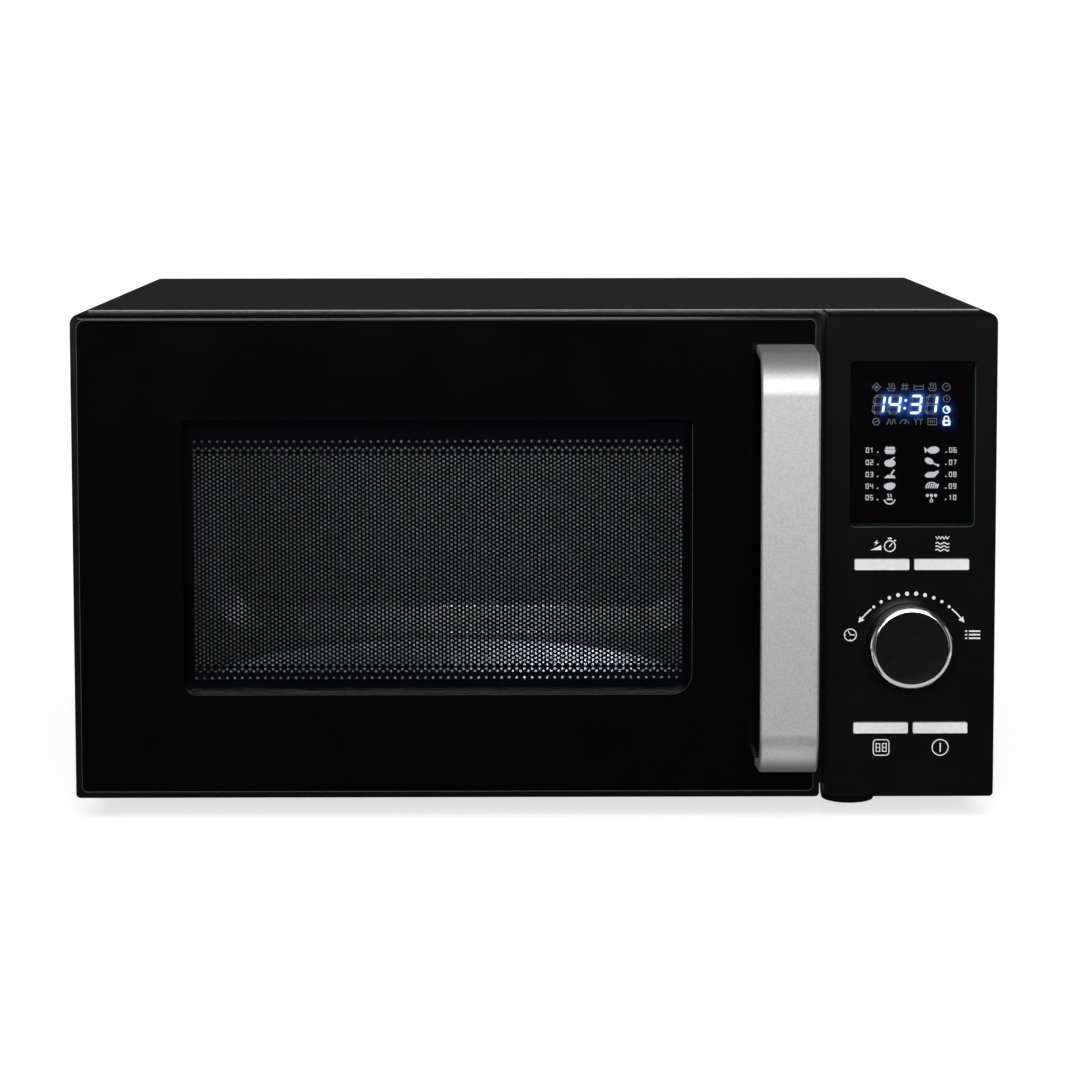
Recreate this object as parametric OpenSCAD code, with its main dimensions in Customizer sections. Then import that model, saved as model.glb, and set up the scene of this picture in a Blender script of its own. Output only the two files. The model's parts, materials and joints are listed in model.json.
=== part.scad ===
// Countertop microwave oven with a side-hinged door, turntable and grill.
// All sizes are in millimetres. x runs to the right, the front faces -y, z is up.
// The origin is at the middle of the footprint, on the surface the feet stand on.

/* [Cabinet] */
// outside width of the cabinet
cab_w = 539; // [532:1:548]
// outside height of the cabinet without its feet
cab_h = 285; // [282:1:292]
// depth of the cabinet behind the door
cab_d = 362; // [358:1:372]
// thickness of the cover's sheet steel
sheet = 0.8; // [0.6:0.1:1.2]
// outside radius of the cover's two long bends
cover_r = 6; // [4:1:8]
// height of the feet under the cabinet
foot_h = 15; // [14:1:18]
// radius of a foot where it stands
foot_r = 16; // [12:1:18]

/* [Cavity] */
// width of the oven cavity
cav_w = 359; // [350:1:362]
// height of the oven cavity
cav_h = 241; // [236:1:244]
// depth of the oven cavity from the front flange to its back wall
cav_d = 324; // [320:1:330]
// depth of the pressed recess in the back wall
recess_d = 11; // [8:1:14]
// diameter of the glass turntable
tray_d = 312; // [290:2:314]
// radius at which the rollers run on the floor
track_r = 104; // [98:1:108]
// radius of a roller
roller_r = 6; // [5:0.5:6]

/* [Door] */
// thickness of the door
door_t = 34; // [34:1:36]
// gap between the door and the cabinet's front flange
door_gap = 2; // [1.5:0.5:3]
// width of the frame's rim around the glossy front
rim = 3.4; // [3:0.2:4]
// width of the window opening
win_w = 297.6; // [280:0.4:300]
// height of the window opening
win_h = 161.3; // [150:0.5:165]
// holes across the screen (coarser than the real perforation)
screen_nx = 16; // [8:1:20]
// holes up the screen (coarser than the real perforation)
screen_nz = 9; // [5:1:12]

/* [Handle] */
// distance the handle stands out from the door
handle_out = 40; // [34:1:46]
// width of the handle's strap
handle_w = 33.8; // [28:0.2:34]
// length of the handle where it meets the door
handle_l = 248.5; // [230:0.5:256]
// thickness of the handle's strap
handle_t = 5; // [4:0.5:6]
// outside radius of the bow between the straight and the short ends
handle_r = 31; // [28:0.5:32]

/* [Controls] */
// width of the control panel
panel_w = 99.5; // [98:0.5:100]
// upright gap between the door and the control panel
panel_gap = 2.8; // [2:0.2:3.4]
// radius of the knob over its bright ring
knob_r = 24; // [20:0.1:25]
// distance the knob's face stands out from the panel
knob_out = 16; // [14:0.5:22]
// length of a bar button
btn_w = 31.9; // [28:0.1:32]
// height of a bar button
btn_h = 6.3; // [5:0.1:7]
// distance a bar button stands out from the panel
btn_out = 1.9; // [1.6:0.1:3]

/* [Hidden] */
$fn = 64;

// outer faces of the whole oven
x_l = -cab_w / 2;
x_r = cab_w / 2;
y_b = (cab_d + door_gap + door_t + handle_out) / 2;
y_f = y_b - cab_d;                 // front flange
y_d = y_f - door_gap - door_t;     // front of the door and the control panel
z_b = foot_h;
z_t = foot_h + cab_h;

// control panel and door edges
xp_l = x_r - panel_w;
xd_r = xp_l - panel_gap;
door_back = y_f - door_gap;

// cavity walls
cx_r = x_r - 146.5;
cx_l = cx_r - cav_w;
cz_b = z_b + 12;
cz_t = cz_b + cav_h;
cy_b = y_f + 1 + cav_d;
tx = (cx_l + cx_r) / 2;            // turntable axis
ty = y_f + 161;
roller_z = cz_b + 0.3 + roller_r;
tray_z = roller_z + roller_r + 0.3;

// door parts
hinge_x = x_l + 9;                 // hinge axis
hinge_y = door_back - 9;
win_x = x_l + 64 + win_w / 2;
win_z = z_b + 61.2 + win_h / 2;
face_y = y_d + 0.3;                // front of the glossy door panel
hook_x = xd_r - 20.2;              // middle of the latch hooks
hook_z = [z_b + 80, z_b + 210];
handle_x = xd_r - 4.2 - handle_w / 2;
handle_z = z_b + 18.1 + handle_l / 2;
bolt_z = handle_l / 2 - 12.5;      // handle screws, above and below the middle
win_r = 6;                         // corner radius of the window opening

// control panel parts
knob_x = x_r - 50.3;
knob_z = z_b + 90.6;
disp_x = [x_r - 85.1, x_r - 12.9];
disp_z = [z_b + 160.2, z_b + 256.4];
btn_xl = x_r - 66.55;
btn_xr = x_r - 31.65;
btn_zt = z_b + 137.7;
btn_zb = z_b + 41;
board_y = y_d + 21;

// a pair of limits shifted to a position, and a pair either side of a centre
function at(p, v) = [p + v[0], p + v[1]];
function pm(c, h) = [c - h, c + h];

// a box between three pairs of limits
module bx(x, y, z)
    translate([x[0], y[0], z[0]]) cube([x[1] - x[0], y[1] - y[0], z[1] - z[0]]);

// a centred rectangle with rounded corners
module rr(w, h, r) {
    square([w - 2 * r, h], center = true);
    square([w, h - 2 * r], center = true);
    for (sx = [-1, 1], sy = [-1, 1])
        translate([sx * (w / 2 - r), sy * (h / 2 - r)]) circle(r = r);
}

// a plate with rounded corners standing in the x-z plane
module plate_y(x, z, r, y)
    translate([(x[0] + x[1]) / 2, y[1], (z[0] + z[1]) / 2]) rotate([90, 0, 0])
        linear_extrude(y[1] - y[0]) rr(x[1] - x[0], z[1] - z[0], r);

// a plate with rounded corners lying in the x-y plane
module plate_z(x, y, r, z)
    translate([(x[0] + x[1]) / 2, (y[0] + y[1]) / 2, z[0]])
        linear_extrude(z[1] - z[0]) rr(x[1] - x[0], y[1] - y[0], r);

// cylinders along the three axes
module cx(y, z, r, x) translate([x[0], y, z]) rotate([0, 90, 0]) cylinder(h = x[1] - x[0], r = r);
module cy(x, z, r, y) translate([x, y[1], z]) rotate([90, 0, 0]) cylinder(h = y[1] - y[0], r = r);
module cz(x, y, r, z) translate([x, y, z[0]]) cylinder(h = z[1] - z[0], r = r);

// section of the cover: square at the foot, rounded at the two upper corners
module cover_section(in) {
    w = cab_w - 2 * in;
    r = cover_r - in;
    top = z_t - in;
    low = in > 0 ? z_b - 5 : z_b;
    translate([-w / 2, low]) square([w, top - r - low]);
    translate([-w / 2 + r, low]) square([w - 2 * r, top - low]);
    for (s = [-1, 1]) translate([s * (w / 2 - r), top - r]) circle(r = r);
}

module outer_cover() color([0.05, 0.05, 0.055]) difference() {
    translate([0, y_b, 0]) rotate([90, 0, 0]) linear_extrude(cab_d) difference() {
        cover_section(0);
        cover_section(sheet);
    }
    // intake slots beside the fan, on the right
    for (i = [0:11], j = [0, 1])
        bx([x_r - 3, x_r + 1], at(y_b - 130 + i * 9, [0, 4]), at(z_b + 150 + j * 42, [0, 32]));
    // outlet slots on the left
    for (i = [0:9], j = [0, 1])
        bx([x_l - 1, x_l + 3], at(y_b - 110 + i * 9, [0, 4]), at(z_b + 172 + j * 36, [0, 26]));
}

// inside width left for the parts that sit between the cover's walls
in_l = x_l + sheet + 0.15;
in_r = x_r - sheet - 0.15;
foot_xy = [[190.5, y_f + 27], [-206, y_f + 46], [206, y_b - 46], [-206, y_b - 46]];

module base_plate() color([0.62, 0.63, 0.64]) {
    difference() {
        union() {
            bx([in_l, in_r], [y_f + 1.1, y_b - 2.2], [z_b, z_b + 1]);
            cz(tx, ty, 36, [z_b - 6.6, z_b + 1]);
        }
        cz(tx, ty, 35, [z_b - 5.6, z_b + 2]);
        for (p = foot_xy) cz(p[0], p[1], 3.2, [z_b - 1, z_b + 2]);
        for (i = [0:8], j = [0, 1])
            bx(at(x_r - 105 + i * 9, [0, 4]), at(y_f + 50 + j * 110, [0, 40]), [z_b - 1, z_b + 2]);
    }
    // upturned side flanges inside the cover
    bx([in_l, in_l + 1], [y_f + 12, y_b - 2.2], [z_b + 0.5, z_b + 11]);
    bx([in_r - 1, in_r], [y_f + 12, y_b - 2.2], [z_b + 0.5, z_b + 11]);
}

grommet_x = x_r - 46;
grommet_z = z_b + 38;
rear_y = [y_b - 2, y_b - 1.1];
screw_xz = [[x_l + 18, z_b + 16], [x_l + 18, z_t - 14], [0, z_t - 14], [x_r - 18, z_t - 14],
    [x_r - 18, z_b + 16], [0, z_b + 16]];

module rear_panel() color([0.62, 0.63, 0.64]) difference() {
    plate_y([in_l, in_r], [z_b + 0.2, z_t - sheet - 0.15], 4.5, rear_y);
    cy(grommet_x, grommet_z, 8, rear_y + [-1, 1]);
    for (p = screw_xz) cy(p[0], p[1], 2.1, rear_y + [-1, 1]);
    for (i = [0:10], j = [0:3])
        bx(at(x_r - 118 + i * 9, [0, 5]), rear_y + [-1, 1], at(z_b + 128 + j * 28, [0, 20]));
    for (i = [0:9], j = [0, 1])
        bx(at(x_l + 40 + i * 9, [0, 5]), rear_y + [-1, 1], at(z_b + 190 + j * 28, [0, 20]));
}

module cord_grommet() color([0.04, 0.04, 0.04]) translate([grommet_x, 0, grommet_z]) difference() {
    union() {
        cy(0, 0, 7.9, [rear_y[0] - 3, y_b]);
        cy(0, 0, 10.5, [rear_y[1] + 0.02, y_b]);
        cy(0, 0, 10.5, [rear_y[0] - 3, rear_y[0] - 0.02]);
    }
    cy(0, 0, 5, [rear_y[0] - 4, y_b + 1]);
}

hinge_slot_z = [z_b + 9, z_t - 11.2];

module front_frame() color([0.16, 0.16, 0.17]) {
    difference() {
        plate_y([in_l, in_r], [z_b + 0.2, z_t - sheet - 0.15], 4.5, [y_f, y_f + 1]);
        plate_y([cx_l, cx_r], [cz_b, cz_t], 8, [y_f - 1, y_f + 2]);
        for (z = hook_z) bx(at(hook_x, [-5, 6]), [y_f - 1, y_f + 2], at(z, [-10, 18]));
        for (z = hinge_slot_z) bx(at(hinge_x, [-5.6, 5.6]), [y_f - 1, y_f + 2], at(z, [-0.4, 2.6]));
        plate_y([xp_l + 16, x_r - 18], [z_b + 30, z_t - 40], 4, [y_f - 1, y_f + 2]);
    }
    // return flange inside the cover's top and the base plate's front
    bx([in_l + 8, in_r - 8], [y_f + 0.5, y_f + 10], [z_t - sheet - 1.3, z_t - sheet - 0.3]);
    bx([in_l + 8, in_r - 8], [y_f + 0.5, y_f + 10], [z_b + 1.2, z_b + 2.2]);
}

wg_y = at(y_f, [143, 213]);           // waveguide port in the right wall
wg_z = at(cz_b, [158, 208]);
lamp_y = y_f + 262;
lamp_z = cz_b + 196;
grill_x = at(tx, [-130, 130]);
grill_y = at(y_f, [78, 208]);

module cavity_shell() color([0.45, 0.46, 0.47]) difference() {
    plate_y([cx_l - 0.8, cx_r + 0.8], [cz_b - 0.8, cz_t + 0.8], 8.8, [y_f + 1.05, cy_b]);
    plate_y([cx_l, cx_r], [cz_b, cz_t], 8, [y_f - 1, cy_b + 1]);
    cz(tx, ty, 5, at(cz_b, [-2, 2]));
    bx(at(cx_r, [-2, 2]), wg_y, wg_z);
    for (i = [0:4]) bx(at(cx_r, [-2, 2]), at(lamp_y - 14 + i * 6, [0, 2.5]), at(lamp_z, [-12, 12]));
    for (i = [0:5]) bx(at(cx_l, [-2, 2]), at(y_f + 210 + i * 8, [0, 3]), at(cz_b, [186, 214]));
    for (i = [0:11]) bx(at(tx - 116 + i * 20, [0, 10]), at(y_f, [96, 190]), at(cz_t, [-2, 2]));
}

// the back wall's pressed recess, inset by a sheet thickness for its inside
module recess(in, y0, y1) hull() {
    plate_y([cx_l + 7 + in, cx_r - 6 - in], [cz_b + 21.5 + in, cz_t - 10 - in], 38, [y0, y0 + 0.1]);
    plate_y([cx_l + 21.5 + in, cx_r - 21 - in], [cz_b + 42.5 + in, cz_t - 24 - in], 20,
        [y1 - 0.1, y1]);
}

module cavity_back() color([0.45, 0.46, 0.47]) difference() {
    union() {
        plate_y([cx_l - 0.8, cx_r + 0.8], [cz_b - 0.8, cz_t + 0.8], 8.8, at(cy_b, [0.05, 0.85]));
        recess(0, cy_b + 0.3, cy_b + recess_d + 0.8);
    }
    recess(0.8, cy_b - 0.2, cy_b + recess_d);
}

wgd_y = at(y_f, [123, 233]);          // waveguide body
wgd_z = at(cz_b, [140, 228]);
mag_y = y_f + 203;                 // magnetron axis
mag_z = cz_b + 186;
mag_x = cx_r + 43;                 // inner face of the magnetron

module waveguide() color([0.62, 0.63, 0.64]) difference() {
    bx([cx_r + 0.85, mag_x - 0.1], wgd_y, wgd_z);
    bx([cx_r + 0.5, mag_x - 1.1], wgd_y + [1, -1], wgd_z + [1, -1]);
    cx(mag_y, mag_z, 12, [mag_x - 3, mag_x + 1]);
}

module waveguide_cover() color([0.55, 0.5, 0.4])
    bx([cx_r - 1.3, cx_r - 0.3], wg_y + [-8, 8], wg_z + [-8, 8]);

module magnetron_yoke() color([0.62, 0.63, 0.64]) difference() {
    bx(at(mag_x, [0, 74]), at(mag_y, [-42, 42]), at(mag_z, [-40, 40]));
    bx(at(mag_x, [2, 72]), at(mag_y, [-43, 43]), at(mag_z, [-38, 38]));
    cx(mag_y, mag_z, 12, at(mag_x, [-1, 3]));
}

// anode with its cooling fins, and the antenna that reaches into the waveguide
module magnetron_core() color([0.7, 0.5, 0.38]) {
    cx(mag_y, mag_z, 19, at(mag_x, [2.2, 71.8]));
    for (i = [0:6]) bx(at(mag_x + 16 + i * 7, [0, 1]), at(mag_y, [-38, 38]), at(mag_z, [-36, 36]));
    cx(mag_y, mag_z, 8, at(mag_x, [-22, 3]));
}

tr_x = x_r - 76.5;                 // transformer centre
tr_y = y_f + 120;

module transformer_core() color([0.3, 0.3, 0.31]) difference() {
    bx(at(tr_x, [-42, 42]), at(tr_y, [-28, 28]), at(z_b, [1.1, 76]));
    for (s = [-1, 1]) bx(at(tr_x + s * 19.5, [-9, 9]), at(tr_y, [-29, 29]), at(z_b, [18, 59]));
}

module transformer_windings() color([0.72, 0.38, 0.16]) difference() {
    plate_z(at(tr_x, [-28, 28]), at(tr_y, [-46, 46]), 12, at(z_b, [18.6, 58.4]));
    bx(at(tr_x, [-11, 11]), at(tr_y, [-28.4, 28.4]), at(z_b, [17, 60]));
}

cap_x = x_r - 110;                 // capacitor centre
cap_y = y_f + 208;

module hv_capacitor() color([0.75, 0.76, 0.77]) {
    plate_z(at(cap_x, [-16, 16]), at(cap_y, [-26, 26]), 15, at(z_b, [3, 92]));
    for (s = [-1, 1]) translate([cap_x, cap_y + s * 12, z_b + 91.5]) cylinder(h = 9, r = 3);
    bx(at(cap_x, [-20, 20]), at(cap_y, [-10, 10]), at(z_b, [1.1, 3.5]));
}

module hv_diode() color([0.08, 0.08, 0.08]) {
    cy(cap_x + 28, z_b + 40, 4, at(cap_y, [-12, 12]));
    cy(cap_x + 28, z_b + 40, 1, at(cap_y, [-24, 24]));
    bx(at(cap_x + 28, [-2, 2]), at(cap_y, [20, 24]), at(z_b, [1.1, 40]));
}

fan_x = x_r - 68;                  // fan axis
fan_z = z_b + 176;
fan_y = y_b - 70;

module fan_shroud() color([0.1, 0.1, 0.11]) {
    difference() {
        union() {
            bx([cx_r + 4, in_r - 3], at(fan_y, [-3, 0]), at(fan_z, [-72, 70]));
            cy(fan_x, fan_z, 54, at(fan_y, [-1, 18]));
        }
        cy(fan_x, fan_z, 51, at(fan_y, [-5, 20]));
    }
    for (s = [-1, 1]) cy(fan_x + s * 58, fan_z, 3, at(fan_y, [-1, 35]));
}

module fan_motor() color([0.35, 0.35, 0.36]) difference() {
    union() {
        plate_y(at(fan_x, [-25, 25]), at(fan_z, [-25, 25]), 5, at(fan_y, [26, 52]));
        bx(at(fan_x, [-62, 62]), at(fan_y, [35.1, 37]), at(fan_z, [-5, 5]));
    }
    cy(fan_x, fan_z, 2.55, at(fan_y, [20, 48]));
}

module fan_blade() color([0.75, 0.77, 0.8]) {
    cy(fan_x, fan_z, 13, at(fan_y, [3, 17]));
    cy(fan_x, fan_z, 2.5, at(fan_y, [16, 44]));
    for (i = [0:4]) translate([fan_x, fan_y + 10, fan_z]) rotate([0, i * 72, 0])
        translate([29, 0, 0]) rotate([34, 0, 0]) cube([38, 1.6, 22], center = true);
}

module turntable_motor() color([0.75, 0.76, 0.77]) difference() {
    union() {
        cz(tx, ty, 25, at(z_b, [-5, 10.6]));
        bx(at(tx, [-33, 33]), at(ty, [-6, 6]), at(z_b, [9.2, 10.2]));
    }
    cz(tx, ty, 3.55, at(z_b, [-2, 12]));
}

module turntable_coupler() color([0.85, 0.85, 0.82]) {
    cz(tx, ty, 3.5, [z_b, cz_b + 3]);
    cz(tx, ty, 7, [cz_b + 1.5, tray_z - 0.2]);
    for (a = [0, 120, 240]) translate([tx, ty, cz_b + 2]) rotate([0, 0, a])
        translate([0, -3, 0]) cube([18, 6, tray_z - cz_b - 2.3]);
}

module glass_tray() color([0.75, 0.85, 0.88, 0.4]) {
    translate([tx, ty, tray_z]) rotate_extrude($fn = 96) polygon([[0, 0],
        [tray_d / 2 - 20, 0], [tray_d / 2 - 3, 5], [tray_d / 2, 7.4], [tray_d / 2, 9],
        [tray_d / 2 - 3.2, 9], [tray_d / 2 - 21, 4], [0, 4]]);
    for (a = [60, 180, 300]) translate([tx, ty, 0]) rotate([0, 0, a])
        translate([12, 0, tray_z - 5]) cylinder(h = 6, r = 3);
}

ring_r = track_r - 12;
module roller_ring() color([0.8, 0.8, 0.78]) translate([tx, ty, 0]) {
    difference() {
        cz(0, 0, ring_r, at(roller_z, [-3, 3]));
        cz(0, 0, ring_r - 9, at(roller_z, [-4, 4]));
    }
    for (a = [30, 150, 270]) rotate([0, 0, a]) {
        cx(0, roller_z, 2, [ring_r - 4, track_r + 7]);
        cx(0, roller_z, 3.2, [track_r + 5.2, track_r + 7]);
    }
}

module roller(a) color([0.9, 0.9, 0.88]) translate([tx, ty, 0]) rotate([0, 0, a]) difference() {
    cx(0, roller_z, roller_r, at(track_r, [-4.5, 4.5]));
    cx(0, roller_z, 2.06, at(track_r, [-6, 6]));
}
module roller_a() roller(30);
module roller_b() roller(150);
module roller_c() roller(270);

module oven_lamp() color([1, 0.95, 0.8]) {
    cx(lamp_y, lamp_z, 9, at(cx_r, [4, 22]));
    cx(lamp_y, lamp_z, 6.4, at(cx_r, [21, 30]));
}

module lamp_socket() color([0.85, 0.85, 0.8]) difference() {
    bx(at(cx_r, [22.4, 40]), at(lamp_y, [-12, 12]), at(lamp_z, [-12, 12]));
    cx(lamp_y, lamp_z, 6.6, at(cx_r, [20, 34]));
}

module grill_reflector() color([0.7, 0.71, 0.72]) difference() {
    bx(grill_x, grill_y, at(cz_t, [0.9, 20]));
    bx(grill_x + [0.8, -0.8], grill_y + [0.8, -0.8], at(cz_t, [0, 19.2]));
}

// two quartz tubes between ceramic end blocks
module grill_heater() color([0.9, 0.75, 0.65]) {
    for (y = [grill_y[0] + 36, grill_y[1] - 36]) cx(y, cz_t + 10, 5, grill_x + [8, -8]);
    for (x = [grill_x[0] + 1.2, grill_x[1] - 9.2])
        bx([x, x + 8], grill_y + [20, -20], at(cz_t, [1, 18.4]));
}

module thermal_cutoffs() color([0.12, 0.12, 0.12]) {
    cz(tx - 150, ty, 8, at(cz_t, [0.9, 9]));
    cz(mag_x + 40, mag_y, 8, at(mag_z, [40.1, 48]));
}

flt_y = [y_b - 78, y_b - 8];
module mains_filter() color([0.1, 0.35, 0.18]) {
    bx([x_r - 84, x_r - 8], flt_y, at(z_b, [12, 13.6]));
    cz(x_r - 62, flt_y[0] + 22, 12, at(z_b, [13.5, 30]));
    bx([x_r - 40, x_r - 16], at(flt_y[0], [12, 30]), at(z_b, [13.5, 28]));
    cx(flt_y[1] - 14, z_b + 18, 3, [x_r - 78, x_r - 54]);
    for (x = [x_r - 80, x_r - 12], y = [flt_y[0] + 5, flt_y[1] - 5])
        cz(x, y, 2, at(z_b, [1.1, 12.5]));
}

// side plate behind the flange with a ledge under each latch hook
module interlock_bracket() color([0.75, 0.75, 0.72]) {
    bx(at(hook_x, [9, 11]), at(y_f, [1.1, 44]), [hook_z[0] - 16, hook_z[1] + 40]);
    for (z = hook_z) bx(at(hook_x, [-5, 10]), at(y_f, [8, 18]), at(z, [-12, -4.6]));
}

module interlock_switches() color([0.08, 0.08, 0.08])
    for (z = [hook_z[0] - 2, hook_z[1] - 2, hook_z[1] + 14]) {
        bx(at(hook_x, [-3, 8.9]), at(y_f, [20, 38]), at(z, [-3, 12]));
        cy(hook_x + 1, z + 4, 1.2, at(y_f, [16, 21]));
    }

// places of the four bar buttons as [x, z]
btn_pos = [[btn_xl, btn_zt], [btn_xr, btn_zt], [btn_xl, btn_zb], [btn_xr, btn_zb]];

module control_fascia() color([0.03, 0.03, 0.035]) {
    difference() {
        translate([(xp_l + x_r) / 2, y_f - 0.2, (z_b + z_t) / 2]) rotate([90, 0, 0])
            linear_extrude(y_f - 0.2 - y_d) difference() {
                rr(panel_w, cab_h, 2.5);
                translate([panel_w / 2 - 6, cab_h / 2 - 6]) difference() {
                    square([8, 8]);
                    circle(r = 6);
                }
            }
        plate_y([xp_l + 2.5, x_r - 2.5], [z_b + 2.5, z_t - 2.5], 4, [y_d + 2.5, y_f + 1]);
        plate_y(disp_x, disp_z, 3, [y_d - 1, y_d + 4]);
        for (p = btn_pos) plate_y(pm(p[0], btn_w / 2 + 0.25),
            pm(p[1], btn_h / 2 + 0.25), 1, [y_d - 1, y_d + 4]);
        cy(knob_x, knob_z, 3.8, [y_d - 1, y_d + 4]);
    }
    // standoffs for the control board
    for (x = [xp_l + 10, x_r - 10], z = [z_b + 14, z_t - 14])
        cy(x, z, 3, [y_d + 2, board_y - 0.05]);
}

module display_window() color([0.06, 0.07, 0.1, 0.5])
    plate_y(disp_x + [-2.5, 2.5], disp_z + [-2.5, 2.5], 3, at(y_d, [2.55, 4.5]));

module display_module() color([0.02, 0.03, 0.08]) {
    plate_y(disp_x + [1, -1], disp_z + [1, -1], 2, at(y_d, [4.6, 9]));
    bx(disp_x + [5, -5], [y_d + 8.9, board_y - 0.05], disp_z + [5, -5]);
}

module control_board() color([0.1, 0.35, 0.18]) {
    bx([xp_l + 6, x_r - 6], at(board_y, [0, 1.6]), [z_b + 8, z_t - 8]);
    for (p = btn_pos) bx(at(p[0], [-3, 3]), at(board_y, [-2, 0.1]), at(p[1], [-3, 3]));
    bx([xp_l + 20, xp_l + 50], at(board_y, [1.5, 11]), at(z_b, [120, 150]));
}

// a bar cap with a retaining flange and a stem that reaches for its switch
module button(p) color([0.9, 0.9, 0.9]) {
    plate_y(pm(p[0], btn_w / 2), pm(p[1], btn_h / 2), 0.8, [y_d - btn_out, y_d + 5]);
    bx(pm(p[0], btn_w / 2 + 1), at(y_d, [2.8, 4.6]), pm(p[1], btn_h / 2 + 1.2));
    cy(p[0], p[1], 2, [y_d + 4.5, board_y - 3.7]);
}
module button_tl() button(btn_pos[0]);
module button_tr() button(btn_pos[1]);
module button_bl() button(btn_pos[2]);
module button_br() button(btn_pos[3]);

module knob_cap() color([0.04, 0.04, 0.045]) translate([knob_x, 0, knob_z]) {
    difference() {
        cy(0, 0, knob_r - 2.3, [y_d - knob_out, y_d - 1.6]);
        cy(0, 0, knob_r - 4.8, [y_d - knob_out + 2.5, y_d]);
    }
    cy(0, 0, 5.5, [y_d - knob_out + 2, y_d - 3.4]);
    cy(0, 0, 3, [y_d - 4, board_y - 4]);
}

module knob_ring() color([0.8, 0.8, 0.82]) translate([knob_x, 0, knob_z]) rotate([90, 0, 0])
    translate([0, 0, -y_d + 1.6]) rotate_extrude($fn = 96) polygon([[knob_r - 2.25, 0],
        [knob_r, 0], [knob_r, knob_out - 2.6], [knob_r - 0.9, knob_out - 1.8],
        [knob_r - 2.25, knob_out - 1.8]]);

module encoder() color([0.5, 0.5, 0.52]) translate([knob_x, 0, knob_z]) difference() {
    union() {
        cy(0, 0, 3.7, [y_d - 1.4, y_d + 10]);
        bx([-6, 6], [y_d + 9, board_y - 0.05], [-6.5, 6.5]);
    }
    cy(0, 0, 3.06, [y_d - 3, board_y - 3]);
}

// front outline of the door: larger radius at the upper left corner
module door_outline() difference() {
    rr(xd_r - x_l, cab_h, 2.5);
    translate([-(xd_r - x_l) / 2 + 6, cab_h / 2 - 6]) difference() {
        translate([-8, 0]) square([8, 8]);
        circle(r = 6);
    }
}

module door_frame() color([0.03, 0.03, 0.035]) {
    difference() {
        translate([(x_l + xd_r) / 2, door_back, (z_b + z_t) / 2]) rotate([90, 0, 0])
            linear_extrude(door_t) door_outline();
        // the upright back edge is rounded about the hinge axis
        difference() {
            bx([x_l - 1, hinge_x], [hinge_y, door_back + 1], [z_b - 1, z_t + 1]);
            cz(hinge_x, hinge_y, 9, [z_b - 2, z_t + 2]);
        }
        // seat of the glossy panel, and the opening behind it
        plate_y([x_l + rim, xd_r - rim], [z_b + rim, z_t - rim], 3, [y_d - 1, y_d + 3.5]);
        plate_y([x_l + 20, xd_r - 12], [z_b + 12, z_t - 12], 3, [y_d, y_d + 8]);
        // rear pocket, with the hinge stile left at the edge
        bx([x_l + 19.5, xd_r - 4], [y_d + 6.5, door_back + 1], [z_b + 4, z_t - 4]);
        bx([x_l + 4, x_l + 20], [y_d + 6.5, hinge_y - 6], [z_b + 34, z_t - 34]);
        for (z = hinge_slot_z)
            bx([x_l - 1, hinge_x + 6.5], [hinge_y - 7.5, door_back + 1], at(z, [0, 2.2]));
        for (z = [[z_b + 3, z_b + 18], [z_t - 18, z_t - 3]]) cz(hinge_x, hinge_y, 3.05, z);
    }
    // guides of the latch bar, and the stop above its spring
    for (z = [hook_z[0] + 26, hook_z[1] - 30])
        bx([hook_x + 5.3, xd_r - 3], [y_d + 12, y_d + 26], at(z, [0, 10]));
    bx([hook_x - 5, xd_r - 3], [y_d + 12, y_d + 26], [hook_z[1] + 36, hook_z[1] + 40]);
}

module door_panel() color([0.01, 0.01, 0.012]) difference() {
    union() {
        plate_y([x_l + rim + 0.2, xd_r - rim - 0.2], [z_b + rim + 0.2, z_t - rim - 0.2], 3,
            [face_y, y_d + 3.4]);
        plate_y(pm(win_x, win_w / 2 + 3), pm(win_z, win_h / 2 + 3), win_r + 3,
            [y_d + 3, y_d + 8]);
    }
    plate_y(pm(win_x, win_w / 2), pm(win_z, win_h / 2), win_r, [y_d - 1, y_d + 9]);
    for (s = [-1, 1]) cy(handle_x, handle_z + s * bolt_z, 2.2, [y_d - 1, y_d + 4]);
}

module window_pane() color([0.05, 0.05, 0.06, 0.5])
    plate_y(pm(win_x, win_w / 2 + 5), pm(win_z, win_h / 2 + 5), 5,
        at(y_d, [8.05, 11]));

pan_x = [x_l + 22, hook_x - 8];
pan_z = [z_b + 20, z_t - 20];
pan_y = at(y_d, [16, 30.6]);          // screen plane and back edge of the pan

module door_pan() color([0.55, 0.56, 0.57]) difference() {
    plate_y(pan_x, pan_z, 6, pan_y);
    plate_y(pan_x + [1, -1], pan_z + [1, -1], 5, pan_y + [1, 1]);
    plate_y(pm(win_x, win_w / 2 - 4), pm(win_z, win_h / 2 - 4), 6,
        pan_y + [-1, 1]);
}

scr_w = win_w - 14;
scr_h = win_h - 20;
module door_screen() color([0.1, 0.1, 0.1])
    translate([win_x, pan_y[0] - 0.05, win_z]) rotate([90, 0, 0]) linear_extrude(0.6)
        difference() {
            rr(win_w, win_h, 6);
            for (i = [0:screen_nx - 1], j = [0:screen_nz - 1])
                translate([(i + 0.5 - screen_nx / 2) * scr_w / screen_nx,
                    (j + 0.5 - screen_nz / 2) * scr_h / screen_nz]) circle(r = 4.5);
        }

// clear film over the cavity side of the screen
module inner_film() color([0.8, 0.82, 0.85, 0.3])
    plate_y(pm(win_x, win_w / 2 + 1), pm(win_z, win_h / 2 + 1), 6, at(pan_y[0], [1.05, 1.55]));

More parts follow.
